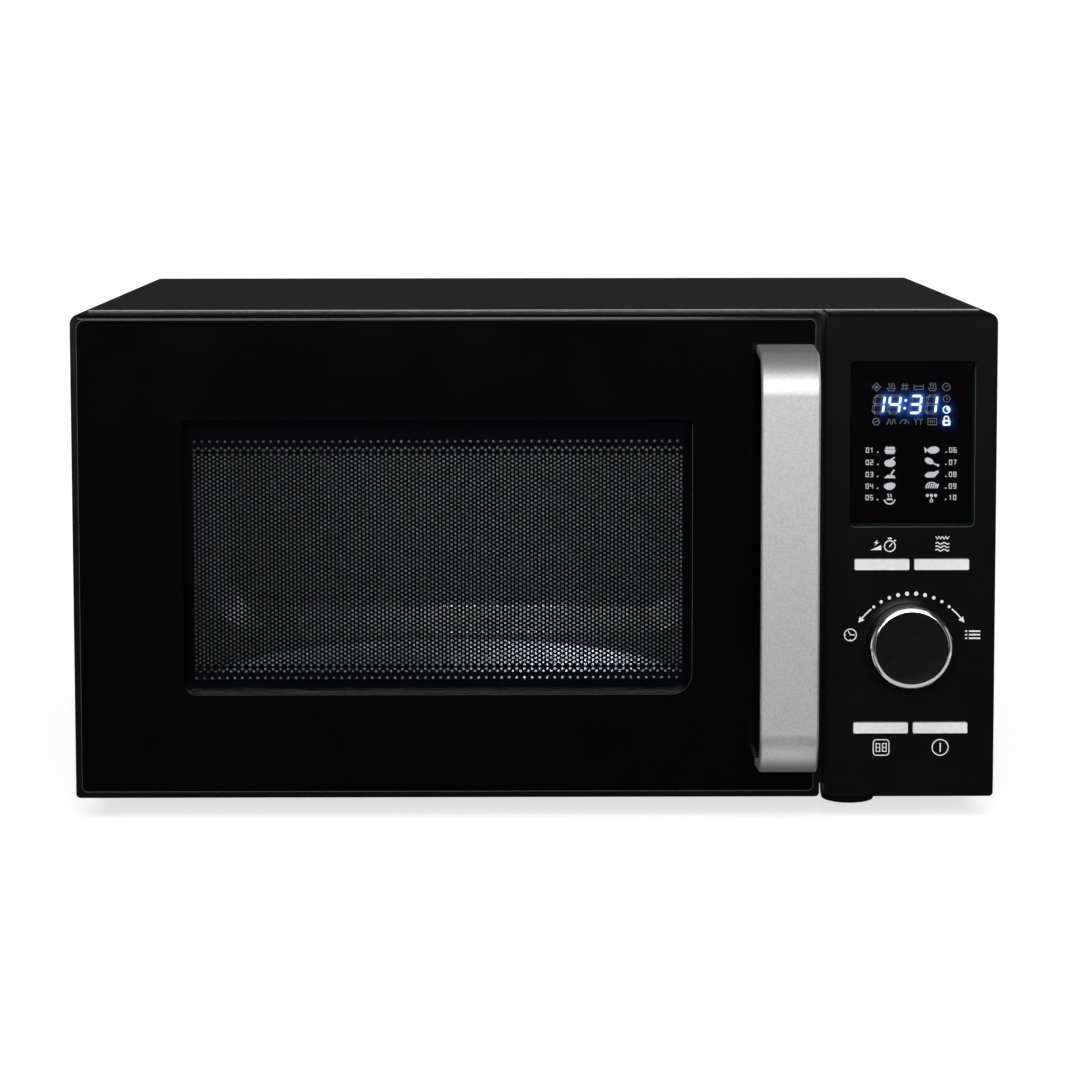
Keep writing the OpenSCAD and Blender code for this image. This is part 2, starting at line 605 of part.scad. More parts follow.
module choke_cover() color([0.04, 0.04, 0.045]) difference() {
    plate_y([x_l + 20, xd_r - 4.4], [z_b + 4.4, z_t - 4.4], 3, [y_d + 31, door_back]);
    plate_y(pm(win_x, win_w / 2 + 2), pm(win_z, win_h / 2 + 2), 8,
        [y_d + 30, door_back + 1]);
    for (z = hook_z) bx(at(hook_x, [-4, 5]), [y_d + 30, door_back + 1], at(z, [-7, 16]));
}

// bar with two hooks that pass through the front flange
module latch_hooks() color([0.85, 0.85, 0.82]) {
    bx(at(hook_x, [-4, 5]), [y_d + 16, y_d + 24], [hook_z[0] - 10, hook_z[1] + 18]);
    for (z = hook_z) {
        bx(at(hook_x, [-2, 3]), [y_d + 23, y_f + 15], at(z, [0, 7]));
        bx(at(hook_x, [-2, 3]), at(y_f, [9, 15]), at(z, [-4, 1]));
    }
}

// ribbed sleeve in place of the latch's coil spring
module latch_spring() color([0.75, 0.76, 0.78])
    translate([hook_x, y_d + 20, hook_z[1] + 18.1]) difference() {
        union() {
            cylinder(h = 17.7, r = 2.6);
            for (i = [0:7]) translate([0, 0, 0.4 + i * 2.2]) cylinder(h = 1.2, r = 3.4);
        }
        translate([0, 0, -1]) cylinder(h = 20, r = 2);
    }

// half of the strap's side profile as [distance out from the door, height]:
// a short end, then a bow that runs into the straight; a0 is where the bow starts
function bow(out, top, drop, r, a0) = let (c = handle_l / 2 - 2.6 - handle_r * sin(52)) concat(
    [[0, top], [out - r + r * cos(a0), top - drop]],
    [for (k = [1:8]) let (a = a0 * (1 - k / 8)) [out - r + r * cos(a), c + r * sin(a)]]);
function flip(p) = [for (i = [len(p) - 1:-1:0]) [p[i][0], -p[i][1]]];
function back_up(p) = concat([for (q = p) [q[0], -q[1]]], [for (i = [len(p) - 1:-1:0]) p[i]]);

module door_handle() color([0.72, 0.72, 0.73]) {
    reach = handle_out + 0.3;
    outer = bow(reach, handle_l / 2, 2.6, handle_r, 52);
    inner = bow(reach - handle_t, handle_l / 2 - handle_t, 2.4, handle_r - handle_t, 48.9);
    difference() {
        union() {
            translate([handle_x - handle_w / 2, face_y, handle_z]) rotate([90, 0, 90])
                linear_extrude(handle_w) mirror([1, 0])
                    polygon(concat(outer, flip(outer), back_up(inner)));
            for (s = [-1, 1]) bx(pm(handle_x, 12), at(face_y, [-6, 0]),
                at(handle_z + s * bolt_z, [-8.2, 8.2]));
        }
        for (s = [-1, 1]) cy(handle_x, handle_z + s * bolt_z, 2.04, at(face_y, [-4.5, 1]));
    }
}

module handle_screws() color([0.6, 0.6, 0.6])
    for (s = [-1, 1]) translate([handle_x, 0, handle_z + s * bolt_z]) {
        cy(0, 0, 2, [face_y - 4, y_d + 4]);
        cy(0, 0, 4, [y_d + 3.45, y_d + 6]);
    }

// leaf through a slot in the flange, a plate behind it, and the pin the door turns on
module hinge(z, pin, tab) color([0.6, 0.6, 0.6]) {
    bx(at(hinge_x, [-5, 5]), [hinge_y, y_f + 2], at(z, [0.1, 2.1]));
    cz(hinge_x, hinge_y, 5, at(z, [0.1, 2.1]));
    cz(hinge_x, hinge_y, 3, pin);
    bx(at(hinge_x, [-5, 21]), at(y_f, [1.1, 3.1]), at(z, tab));
}
module hinge_bottom() hinge(hinge_slot_z[0], [z_b + 4, z_b + 17], [-4, 20]);
module hinge_top() hinge(hinge_slot_z[1], [z_t - 17, z_t - 4], [-18, 6]);

module feet() color([0.03, 0.03, 0.03])
    for (p = foot_xy) translate([p[0], p[1], 0]) {
        cylinder(h = foot_h - 0.05, r1 = foot_r - 1, r2 = foot_r + 1);
        cylinder(h = foot_h + 4, r = 3);
    }

module cover_screws() color([0.6, 0.6, 0.6])
    for (p = screw_xz) {
        cy(p[0], p[1], 4, [rear_y[1] + 0.02, y_b]);
        cy(p[0], p[1], 2, [y_b - 10, y_b - 0.5]);
    }

outer_cover();
base_plate();
rear_panel();
cord_grommet();
front_frame();
cavity_shell();
cavity_back();
waveguide();
waveguide_cover();
magnetron_yoke();
magnetron_core();
transformer_core();
transformer_windings();
hv_capacitor();
hv_diode();
fan_motor();
fan_blade();
fan_shroud();
turntable_motor();
turntable_coupler();
glass_tray();
roller_ring();
roller_a();
roller_b();
roller_c();
oven_lamp();
lamp_socket();
grill_heater();
grill_reflector();
thermal_cutoffs();
mains_filter();
interlock_bracket();
interlock_switches();
control_fascia();
display_window();
display_module();
control_board();
button_tl();
button_tr();
button_bl();
button_br();
knob_cap();
knob_ring();
encoder();
door_frame();
door_panel();
window_pane();
door_screen();
door_pan();
inner_film();
choke_cover();
latch_hooks();
latch_spring();
door_handle();
handle_screws();
hinge_bottom();
hinge_top();
feet();
cover_screws();
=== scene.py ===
import json
import math

import bmesh
import bpy
from mathutils import Matrix, Vector

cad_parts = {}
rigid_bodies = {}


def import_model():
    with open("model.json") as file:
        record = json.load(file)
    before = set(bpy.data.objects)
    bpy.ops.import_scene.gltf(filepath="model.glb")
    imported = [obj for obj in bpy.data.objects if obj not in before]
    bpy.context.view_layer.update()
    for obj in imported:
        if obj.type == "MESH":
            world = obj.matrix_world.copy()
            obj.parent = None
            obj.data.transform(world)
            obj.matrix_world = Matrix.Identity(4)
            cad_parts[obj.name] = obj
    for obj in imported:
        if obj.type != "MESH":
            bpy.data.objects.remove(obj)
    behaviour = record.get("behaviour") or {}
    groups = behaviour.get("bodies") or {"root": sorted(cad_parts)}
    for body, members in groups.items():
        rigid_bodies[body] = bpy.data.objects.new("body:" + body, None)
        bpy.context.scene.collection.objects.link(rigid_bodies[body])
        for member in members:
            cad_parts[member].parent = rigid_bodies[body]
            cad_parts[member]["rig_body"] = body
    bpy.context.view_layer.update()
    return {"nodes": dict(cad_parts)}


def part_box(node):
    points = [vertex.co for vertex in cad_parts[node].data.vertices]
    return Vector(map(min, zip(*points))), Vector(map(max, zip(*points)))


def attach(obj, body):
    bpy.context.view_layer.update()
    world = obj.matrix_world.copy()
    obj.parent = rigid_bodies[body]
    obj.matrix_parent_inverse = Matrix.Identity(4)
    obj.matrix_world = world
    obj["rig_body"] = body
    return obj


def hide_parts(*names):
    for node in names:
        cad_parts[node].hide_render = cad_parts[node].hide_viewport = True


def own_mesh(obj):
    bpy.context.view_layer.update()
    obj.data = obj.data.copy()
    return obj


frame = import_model()
MM = 0.001


# ---------------- materials
def node(tree, kind, **values):
    n = tree.nodes.new(kind)
    for key, value in values.items():
        if key in n.inputs:
            n.inputs[key].default_value = value
        else:
            setattr(n, key, value)
    return n


def mat(name, low, high, rough=(0.4, 0.5), grain=300, bump=0.0, bump_size=1500, metal=0.0,
        stretch=(1, 1, 1), coat=0.0, spec=0.5, alpha=1.0, glow=(1, 1, 1), glow_power=0.0,
        detail=4.0):
    """A Principled material whose colour and roughness vary with noise between two ends. The
    bump is finer noise on its surface, and the glow is the colour of its own light."""
    m = bpy.data.materials.new(name)
    m.use_nodes = True
    t = m.node_tree
    t.nodes.clear()
    out = node(t, "ShaderNodeOutputMaterial")
    b = node(t, "ShaderNodeBsdfPrincipled", Metallic=metal, Alpha=alpha)
    b.inputs["Coat Weight"].default_value = coat
    b.inputs["Specular IOR Level"].default_value = spec
    b.inputs["Emission Color"].default_value = (*glow, 1)
    b.inputs["Emission Strength"].default_value = glow_power
    t.links.new(b.outputs[0], out.inputs[0])
    place = node(t, "ShaderNodeTexCoord")
    scale = node(t, "ShaderNodeMapping", Scale=stretch)
    t.links.new(place.outputs["Object"], scale.inputs["Vector"])
    noise = node(t, "ShaderNodeTexNoise", Scale=grain, Detail=detail, Roughness=0.6)
    t.links.new(scale.outputs[0], noise.inputs["Vector"])
    ramp = node(t, "ShaderNodeValToRGB")
    for stop, position, colour in zip(ramp.color_ramp.elements, (0.3, 0.7), (low, high)):
        stop.position = position
        stop.color = (*colour, 1)
    t.links.new(noise.outputs[0], ramp.inputs[0])
    t.links.new(ramp.outputs[0], b.inputs["Base Color"])
    spread = node(t, "ShaderNodeMapRange")
    spread.inputs["To Min"].default_value, spread.inputs["To Max"].default_value = rough
    t.links.new(noise.outputs[0], spread.inputs[0])
    t.links.new(spread.outputs[0], b.inputs["Roughness"])
    if bump:
        fine = node(t, "ShaderNodeTexNoise", Scale=bump_size, Detail=3.0, Roughness=0.55)
        t.links.new(scale.outputs[0], fine.inputs["Vector"])
        lift = node(t, "ShaderNodeBump", Strength=bump, Distance=0.0004)
        t.links.new(fine.outputs[0], lift.inputs["Height"])
        t.links.new(lift.outputs[0], b.inputs["Normal"])
    return m


def grey(value, blue=None):
    return value, value, value if blue is None else blue


MATS = {
    # outside
    "cover": mat("cover_paint", grey(0.010), grey(0.014), (0.40, 0.48), 90, 0.35, 2600),
    "gloss": mat("gloss_black", grey(0.0006), grey(0.0010), (0.10, 0.15), 25, spec=0.25),
    "fascia": mat("fascia_black", grey(0.0028), grey(0.0036), (0.15, 0.19), 25, spec=0.3),
    "rim": mat("rim_black", grey(0.0020), grey(0.003), (0.16, 0.22), 60, 0.03, 2000,
               spec=0.35),
    # painted highlight: dark grey for the ring that stands for the light caught at the seam round
    # the glossy front
    "seam_highlight": mat("seam_highlight_line", grey(0.035), grey(0.05), (0.25, 0.35), 200, 0.05, 2000),
    "silver": mat("handle_silver", grey(0.40), grey(0.56), (0.44, 0.50), 1300, 0.16, 2200,
                  metal=0.85, detail=3.0),
    "chrome": mat("bright_ring", grey(0.78), grey(0.86), (0.10, 0.16), 900, metal=1.0,
                  stretch=(1, 8, 1)),
    "knob": mat("knob_black", grey(0.006), grey(0.009), (0.10, 0.16), 120),
    "button": mat("button_silver", grey(0.80), grey(0.88), (0.30, 0.38), 300, 0.04, 3000,
                  coat=0.2),
    "ink": mat("print_white", grey(0.80), grey(0.88), (0.5, 0.6), 900),
    "smoke": mat("smoked_glass", (0.0006, 0.0008, 0.002), (0.001, 0.0014, 0.003),
                 (0.02, 0.04), 20, alpha=0.30, spec=0.3),
    "border": mat("window_border", (0.0004, 0.0006, 0.0012), (0.0006, 0.0009, 0.0018),
                  (0.4, 0.5), 200, 0.03, spec=0.08),
    # painted highlight: pale grey for the strip that stands for the light on the cover's bent
    # front edge
    "hem_highlight": mat("cover_hem_highlight", grey(0.42), grey(0.52), (0.3, 0.4), 200, 0.05, 2000),
    "screen": mat("screen_metal", grey(0.0015), grey(0.0025), (0.5, 0.6), 400, 0.1, 3000,
                  spec=0.12),
    "film": mat("clear_film", grey(0.5), grey(0.6), (0.1, 0.16), 30, alpha=0.10),
    # display
    "lens": mat("display_lens", grey(0.001, 0.002), grey(0.002, 0.003), (0.03, 0.05), 20,
                alpha=0.12, spec=0.12),
    "panel": mat("display_field", grey(0.0004, 0.0006), grey(0.0008, 0.0012), (0.3, 0.4), 300,
                 spec=0.03),
    "lit": mat("segment_lit", (0.6, 0.75, 1.0), (0.7, 0.82, 1.0), (0.4, 0.5), 900,
               glow=(0.62, 0.80, 1.0), glow_power=1.3),
    "dim": mat("segment_dim", (0.10, 0.105, 0.12), (0.12, 0.126, 0.145), (0.4, 0.5), 900,
               glow=(0.6, 0.72, 1.0), glow_power=0.10),
    "legend": mat("legend_grey", grey(0.40), grey(0.46), (0.5, 0.6), 900,
                  glow=(0.9, 0.93, 1.0), glow_power=0.40),
    # inside
    "enamel": mat("cavity_enamel", grey(0.17), grey(0.21), (0.14, 0.20), 60, 0.05, 1400,
                  coat=0.3),
    "zinc": mat("zinc_sheet", grey(0.50), grey(0.62), (0.28, 0.42), 45, 0.08, 900,
                metal=1.0, detail=8.0),
    "frame_grey": mat("flange_paint", grey(0.06), grey(0.075), (0.4, 0.5), 120, 0.2, 2200),
    "pan_grey": mat("pan_paint", grey(0.10), grey(0.13), (0.4, 0.5), 120, 0.15, 2200),
    "rubber": mat("rubber_black", grey(0.008), grey(0.014), (0.5, 0.65), 400, 0.3, 2500),
    "foot": mat("foot_plastic", grey(0.0035), grey(0.006), (0.18, 0.26), 200, 0.05, 2000),
    "mica": mat("mica_sheet", (0.34, 0.29, 0.20), (0.52, 0.46, 0.34), (0.35, 0.5), 120, 0.2,
                900, detail=8.0),
    "cast": mat("laminated_core", grey(0.10), grey(0.16), (0.4, 0.55), 400, 0.4, 1800,
                metal=0.7, stretch=(1, 1, 6)),
    "copper": mat("enamelled_copper", (0.42, 0.14, 0.04), (0.62, 0.25, 0.08), (0.25, 0.35),
                  1400, 0.5, 2400, metal=0.8, stretch=(0.3, 0.3, 3)),
    "alu": mat("aluminium_plain", grey(0.62), grey(0.74), (0.25, 0.4), 300, 0.12, 1600,
               metal=1.0, stretch=(1, 6, 1)),
    "white": mat("nylon_white", (0.62, 0.62, 0.58), (0.72, 0.72, 0.68), (0.38, 0.48), 90,
                 0.08, 1800),
    "black": mat("plastic_black", grey(0.010), grey(0.016), (0.38, 0.5), 200, 0.25, 2200),
    "board": mat("board_green", (0.02, 0.10, 0.045), (0.03, 0.15, 0.06), (0.3, 0.42), 700,
                 0.2, 1500),
    "glass": mat("tray_glass", (0.72, 0.82, 0.84), (0.78, 0.88, 0.9), (0.03, 0.07), 40,
                 alpha=0.32, coat=0.5),
    "lamp": mat("lamp_glass", (0.8, 0.76, 0.66), (0.9, 0.86, 0.78), (0.15, 0.3), 300,
                alpha=0.7),
    "quartz": mat("quartz_tube", (0.62, 0.58, 0.54), (0.74, 0.7, 0.66), (0.15, 0.3), 500,
                  0.1, 1500, alpha=0.85),
    "ceramic": mat("ceramic_cream", (0.62, 0.6, 0.54), (0.72, 0.7, 0.64), (0.4, 0.55), 200,
                   0.15, 1800),
    "spring": mat("spring_wire", grey(0.55), grey(0.66), (0.22, 0.32), 800, 0.1, 3000,
                  metal=1.0),
}

CAD_MATS = {
    "cover": "outer_cover",
    "zinc": "base_plate rear_panel waveguide magnetron_yoke turntable_motor fan_motor encoder"
            " handle_screws hinge_bottom hinge_top cover_screws",
    "rubber": "cord_grommet",
    "foot": "feet",
    "frame_grey": "front_frame",
    "enamel": "cavity_shell cavity_back",
    "mica": "waveguide_cover",
    "cast": "transformer_core",
    "copper": "transformer_windings",
    "alu": "hv_capacitor fan_blade grill_reflector magnetron_core",
    "black": "hv_diode fan_shroud thermal_cutoffs interlock_switches choke_cover",
    "white": "turntable_coupler roller_ring roller_a roller_b roller_c interlock_bracket"
             " latch_hooks",
    "glass": "glass_tray",
    "lamp": "oven_lamp",
    "ceramic": "lamp_socket",
    "quartz": "grill_heater",
    "board": "mains_filter control_board",
    "fascia": "control_fascia",
    "lens": "display_window",
    "panel": "display_module",
    "button": "button_tl button_tr button_bl button_br",
    "knob": "knob_cap",
    "chrome": "knob_ring",
    "rim": "door_frame",
    "gloss": "door_panel",
    "smoke": "window_pane",
    "screen": "door_screen",
    "pan_grey": "door_pan",
    "film": "inner_film",
    "spring": "latch_spring",
    "silver": "door_handle",
}
NODE_MAT = {n: key for key, names in CAD_MATS.items() for n in names.split()}
for n, obj in frame["nodes"].items():
    obj.data.materials.clear()
    obj.data.materials.append(MATS[NODE_MAT[n]])
BODY = {n: o["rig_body"] for n, o in frame["nodes"].items()}


# ---------------- places, in millimetres
def span(n):
    lo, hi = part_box(n)
    return [v / MM for v in lo], [v / MM for v in hi]


def front_of(lo, hi, more=0.0):
    """Left, right, bottom and top of a box seen from the front, grown on every side."""
    return [lo[0] - more, hi[0] + more, lo[2] - more, hi[2] + more]


def grown(sides, more):
    return [sides[0] - more, sides[1] + more, sides[2] - more, sides[3] + more]


def middle(n):
    lo, hi = span(n)
    return (lo[0] + hi[0]) / 2, (lo[2] + hi[2]) / 2


cab_lo, cab_hi = span("outer_cover")
X_L, X_R, Z_B, Z_T = front_of(cab_lo, cab_hi)
Y_D = span("control_fascia")[0][1]   # front plane of the door's surround and of the panel
FACE_Y = span("door_panel")[0][1]    # front plane of the door's glossy front
DOOR = [X_L, span("door_frame")[1][0], Z_B, Z_T]
WIN = front_of(*span("window_pane"), -5)
han_lo, han_hi = span("door_handle")
HAN_X, HAN_Z = middle("door_handle")
HAN_W, HAN_L = han_hi[0] - han_lo[0], han_hi[2] - han_lo[2]
POST_UP = HAN_L / 2 - 12.5           # from the middle of the handle to the middle of a post
knob_lo, knob_hi = span("knob_ring")
KNOB_X, KNOB_Z = middle("knob_ring")
KNOB_R = (knob_hi[0] - knob_lo[0]) / 2
KEY_L, KEY_T = middle("button_tl")
KEY_R, KEY_B = middle("button_br")
DISP = front_of(*span("display_window"), -2.5)
mod_lo, mod_hi = span("display_module")


# ---------------- mesh helpers
def shade(obj, sharp):
    """Smooth shading weighted by face area, so that large flat faces stay flat."""
    for p in obj.data.polygons:
        p.use_smooth = True
    obj.data.set_sharp_from_angle(angle=math.radians(sharp))
    weighted = obj.modifiers.new("weighted", "WEIGHTED_NORMAL")
    weighted.keep_sharp, weighted.weight = True, 100
    bpy.context.view_layer.update()
    dg = bpy.context.evaluated_depsgraph_get()
    mesh = bpy.data.meshes.new_from_object(obj.evaluated_get(dg), depsgraph=dg)
    obj.modifiers.clear()
    old, obj.data = obj.data, mesh
    bpy.data.meshes.remove(old)


def add_object(name, bm):
    mesh = bpy.data.meshes.new(name)
    bm.to_mesh(mesh)
    bm.free()
    obj = bpy.data.objects.new(name, mesh)
    bpy.context.scene.collection.objects.link(obj)
    return obj


def piece(name, bm, body, material, stands_for=(), slot=None, sharp=35, smooth=True):
    """Makes a visible piece that moves with the body and stands for the CAD nodes named."""
    bmesh.ops.recalc_face_normals(bm, faces=bm.faces)
    obj = add_object(name, bm)
    if smooth:
        shade(obj, sharp)
    obj.data.materials.clear()
    obj.data.materials.append(MATS[material])
    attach(obj, body)
    if stands_for:
        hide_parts(*stands_for)
    return obj


def merge(bm, other):
    """Moves the other mesh into bm."""
    mesh = bpy.data.meshes.new("merged")
    other.to_mesh(mesh)
    other.free()
    bm.from_mesh(mesh)
    bpy.data.meshes.remove(mesh)


def soft(n, name, width=0.3, segs=2, turn=25, rules=(), sharp=35, dip=0.0, weld=0.002):
    """A copy of a CAD node with its edges rounded: each rule is (test on an edge's middle and
    direction, width, segments) for the larger ones, then every other edge takes the width.
    The dip lowers its top face and the weld joins points that close, in millimetres."""
    bm = bmesh.new()
    bm.from_mesh(frame["nodes"][n].data)
    bmesh.ops.remove_doubles(bm, verts=bm.verts, dist=weld * MM)
    for v in bm.verts:
        if v.co.z > (Z_T - 0.05) * MM:
            v.co.z -= dip * MM
    bmesh.ops.dissolve_limit(bm, angle_limit=math.radians(0.6), verts=bm.verts,
                             edges=bm.edges)
    bmesh.ops.connect_verts_concave(bm, faces=bm.faces)
    bmesh.ops.recalc_face_normals(bm, faces=bm.faces)

    def turned():
        return [e for e in bm.edges
                if len(e.link_faces) == 2 and e.calc_face_angle(0) > math.radians(turn)]

    done = set()
    for test, w, s in rules:
        chosen = []
        for e in turned():
            mid = (e.verts[0].co + e.verts[1].co) / 2 / MM
            along = (e.verts[1].co - e.verts[0].co).normalized()
            if test(mid, along):
                chosen.append(e)
        made = bmesh.ops.bevel(bm, geom=chosen, offset=w * MM, segments=s, profile=0.5,
                               affect="EDGES", clamp_overlap=False)
        done |= set(made["faces"])
    if width:
        marked = {v for f in done if f.is_valid for v in f.verts}
        chosen = [e for e in turned() if not (e.verts[0] in marked and e.verts[1] in marked)]
        bmesh.ops.bevel(bm, geom=chosen, offset=width * MM, segments=segs, profile=0.5,
                        affect="EDGES", clamp_overlap=True)
    piece(name, bm, BODY[n], NODE_MAT[n], (n,), n, sharp)


def skin(bm, rows):
    """Joins closed rows of points into a tube with closed ends."""
    for a, b in zip(rows, rows[1:]):
        for k in range(len(a)):
            j = (k + 1) % len(a)
            bm.faces.new((a[k], a[j], b[j], b[k]))
    bm.faces.new(rows[0][::-1])
    bm.faces.new(rows[-1])


def arc(cx, cz, r, a0, a1, count):
    return [(cx + r * math.cos(math.radians(a0 + (a1 - a0) * i / count)),
             cz + r * math.sin(math.radians(a0 + (a1 - a0) * i / count)))
            for i in range(count + 1)]


def rounded(x0, x1, z0, z1, radii, count=8):
    """A closed outline, counter-clockwise from the lower left corner; radii are for the
    lower left, lower right, upper right and upper left corners."""
    if not isinstance(radii, (list, tuple)):
        radii = [radii] * 4
    a, b, c, d = radii
    pts = []
    for cx, cz, r, start in ((x0 + a, z0 + a, a, 180), (x1 - b, z0 + b, b, 270),
                             (x1 - c, z1 - c, c, 0), (x0 + d, z1 - d, d, 90)):
        pts += arc(cx, cz, r, start, start + 90, count) if r > 0 else [(cx, cz)]
    return pts


def plate(name, loops, y0, y1, bevel=0.4, segs=3):
    """A flat plate in the x-z plane from y0 (front) to y1 with all its edges rounded; the
    first loop is its outline and the others are holes."""
    curve = bpy.data.curves.new(name, "CURVE")
    curve.dimensions = "2D"
    curve.fill_mode = "BOTH"
    for loop in loops:
        s = curve.splines.new("POLY")
        s.points.add(len(loop) - 1)
        for p, (x, z) in zip(s.points, loop):
            p.co = (x * MM, z * MM, 0, 1)
        s.use_cyclic_u = True
    curve.extrude = ((y1 - y0) / 2 - bevel) * MM
    curve.bevel_depth = bevel * MM
    curve.bevel_resolution = segs
    curve.offset = -bevel * MM
    tmp = bpy.data.objects.new(name + "_tmp", curve)
    bpy.context.scene.collection.objects.link(tmp)
    bpy.context.view_layer.update()
    dg = bpy.context.evaluated_depsgraph_get()
    mesh = bpy.data.meshes.new_from_object(tmp.evaluated_get(dg))
    bpy.data.objects.remove(tmp)
    bpy.data.curves.remove(curve)
    bm = bmesh.new()
    bm.from_mesh(mesh)
    bpy.data.meshes.remove(mesh)
    bmesh.ops.remove_doubles(bm, verts=bm.verts, dist=1e-6)
    bmesh.ops.transform(bm, verts=bm.verts, matrix=Matrix.Translation(
        (0, (y0 + y1) / 2 * MM, 0)) @ Matrix.Rotation(math.pi / 2, 4, "X"))
    return bm


def lathe(profile, centre, axis="Y", count=128, closed=False):
    """Turns a profile of (radius, place along the axis) round a line through centre."""
    def point(u, v, t):
        return Vector((u, t, v) if axis == "Y" else (u, v, t)) * MM

    bm = bmesh.new()
    rings = []
    for r, t in profile:
        if r < 1e-6:
            rings.append([bm.verts.new(point(*centre, t))])
            continue
        turns = [2 * math.pi * k / count for k in range(count)]
        rings.append([bm.verts.new(point(centre[0] + r * math.cos(a),
                                         centre[1] + r * math.sin(a), t)) for a in turns])
    pairs = list(zip(rings, rings[1:]))
    if closed:
        pairs.append((rings[-1], rings[0]))
    for a, b in pairs:
        for k in range(count):
            j = (k + 1) % count
            quad = [a[k % len(a)], a[j % len(a)], b[j % len(b)], b[k % len(b)]]
            corners = list(dict.fromkeys(quad))
            if len(corners) > 2:
                bm.faces.new(corners)
    return bm


class Solids:
    """Closed prisms between two planes in the x-z plane, kept in one mesh. Their points are
    measured from an origin, which at() moves."""

    def __init__(self, y0, y1, x=0.0, z=0.0):
        self.bm, self.y = bmesh.new(), (y0 * MM, y1 * MM)
        self.at(x, z)

    def at(self, x, z):
        self.x, self.z = x, z

    def verts(self, pts, y):
        return [self.bm.verts.new(((self.x + x) * MM, y, (self.z + z) * MM)) for x, z in pts]

    def poly(self, pts):
        fr, bk = (self.verts(pts, y) for y in self.y)
        self.bm.faces.new(fr)
        self.bm.faces.new(bk[::-1])
        for i in range(len(pts)):
            j = (i + 1) % len(pts)
            self.bm.faces.new((fr[j], fr[i], bk[i], bk[j]))

    def ring(self, outer, inner):
        n = len(outer)
        of, ob, nf, nb = (self.verts(loop, y) for loop in (outer, inner) for y in self.y)
        for i in range(n):
            j = (i + 1) % n
            for quad in ((of[i], of[j], nf[j], nf[i]), (ob[j], ob[i], nb[i], nb[j]),
                         (of[j], of[i], ob[i], ob[j]), (nf[i], nf[j], nb[j], nb[i])):
                self.bm.faces.new(quad)

    def disc(self, x, z, r, count=20):
        self.poly(arc(x, z, r, 0, 360 - 360 / count, count - 1))

    def circle(self, x, z, r, w, count=28):
        pts = [arc(x, z, q, 0, 360 - 360 / count, count - 1) for q in (r + w / 2, r - w / 2)]
        self.ring(*pts)

    def line(self, pts, w, closed=False):
        """A stroke of width w along a polyline, mitred at its corners."""
        pts = [Vector(p) for p in pts]
        ways = [(b - a).normalized() for a, b in zip(pts, pts[1:] + pts[:1])]
        left, right = [], []
        for i, p in enumerate(pts):
            before = ways[i - 1] if i or closed else ways[0]
            after = ways[i] if i < len(pts) - 1 or closed else before
            along = before + after
            along = along.normalized() if along.length > 1e-6 else before
            normal = Vector((-along.y, along.x))
            across = normal * (w / 2 / max(0.5, along.dot(before)))
            left.append(p + across)
            right.append(p - across)
        if closed:
            self.ring(left, right)
        else:
            self.poly(left + right[::-1])

    def box(self, x0, x1, z0, z1):
        self.poly([(x0, z0), (x1, z0), (x1, z1), (x0, z1)])

    def done(self, name, body, material):
        piece(name, self.bm, body, material, smooth=False)


# ---------------- cabinet
def hem_highlight():
    """Painted highlight: a pale strip on the cover's front edge above the door and panel."""
    strip = Solids(cab_lo[1] - 0.3, cab_lo[1] + 0.1)
    strip.box(X_L + 6, X_R - 6, Z_T - 0.55, Z_T - 0.15)
    strip.done("cover_hem_highlight", "cabinet", "hem_highlight")


def cavity_back():
    """Rounds the folds of the pressed recess; the cut edges of the thin sheet stay sharp."""
    lo, hi = span("cavity_back")
    sheet, margin = 0.8, 4

    def on_fold(mid, _):
        inside = (lo[0] + margin < mid.x < hi[0] - margin
                  and lo[2] + margin < mid.z < hi[2] - margin)
        return inside and (abs(mid.y - lo[1]) < 0.2 or abs(mid.y - hi[1] + sheet) < 0.2)

    soft("cavity_back", "cavity_back_pressing", 0, turn=12, sharp=60, weld=0.15,
         rules=((on_fold, 3.0, 5),))


def feet():
    lo, hi = span("feet")
    r, top = 17.0, Z_B - 0.05
    left, right, back = lo[0] + r, hi[0] - r, cab_hi[1] - 46
    profile = [(0, 0.6), (r - 6, 0.6), (r - 5.4, 0.0), (r - 2.6, 0.0), (r - 1.6, 0.35),
               (r - 1.1, 1.1), (r - 0.75, 3.0), (r - 0.4, 6.0), (r - 0.2, top - 1.6),
               (r - 0.45, top - 0.7), (r - 1.2, top), (3, top), (3, top + 4), (0, top + 4)]
    bm = bmesh.new()
    for centre in ((right - 15.5, Y_D + 63), (left, Y_D + 82), (right, back), (left, back)):
        merge(bm, lathe(profile, centre, "Z", 64))
    piece("feet_turned", bm, "cabinet", "foot", ("feet",), "feet", 40)


soft("outer_cover", "cover_wrap", 0.25)
soft("rear_panel", "rear_sheet", 0.2, 1)
soft("base_plate", "base_sheet", 0.2, 1)
soft("front_frame", "front_flange", 0.25)
hem_highlight()
cavity_back()
soft("cover_screws", "cover_screw_heads", 0.6, 3, turn=40)
soft("cord_grommet", "cord_inlet_bush", 0.8, 3, turn=40)
feet()

# ---------------- door
TOP_DIP = 0.8                        # how far the cover stands above the door and the panel
INSET = 3.6                          # from the surround's outer edge to the glossy front


def top_edge(mid, along):
    """True for the long edge between the front plane and the top."""
    return abs(mid.y - Y_D) < 0.2 and mid.z > Z_T - 1.2 and abs(along.x) > 0.5


TOP_CHAMFER = (top_edge, 1.6, 1)


def flat_glass(n, name, body, material, radius, bevel):
    lo, hi = span(n)
    bm = plate(name, [rounded(*front_of(lo, hi), radius)], lo[1], hi[1], bevel, 2)
    piece(name, bm, body, material, (n,), n, 40)


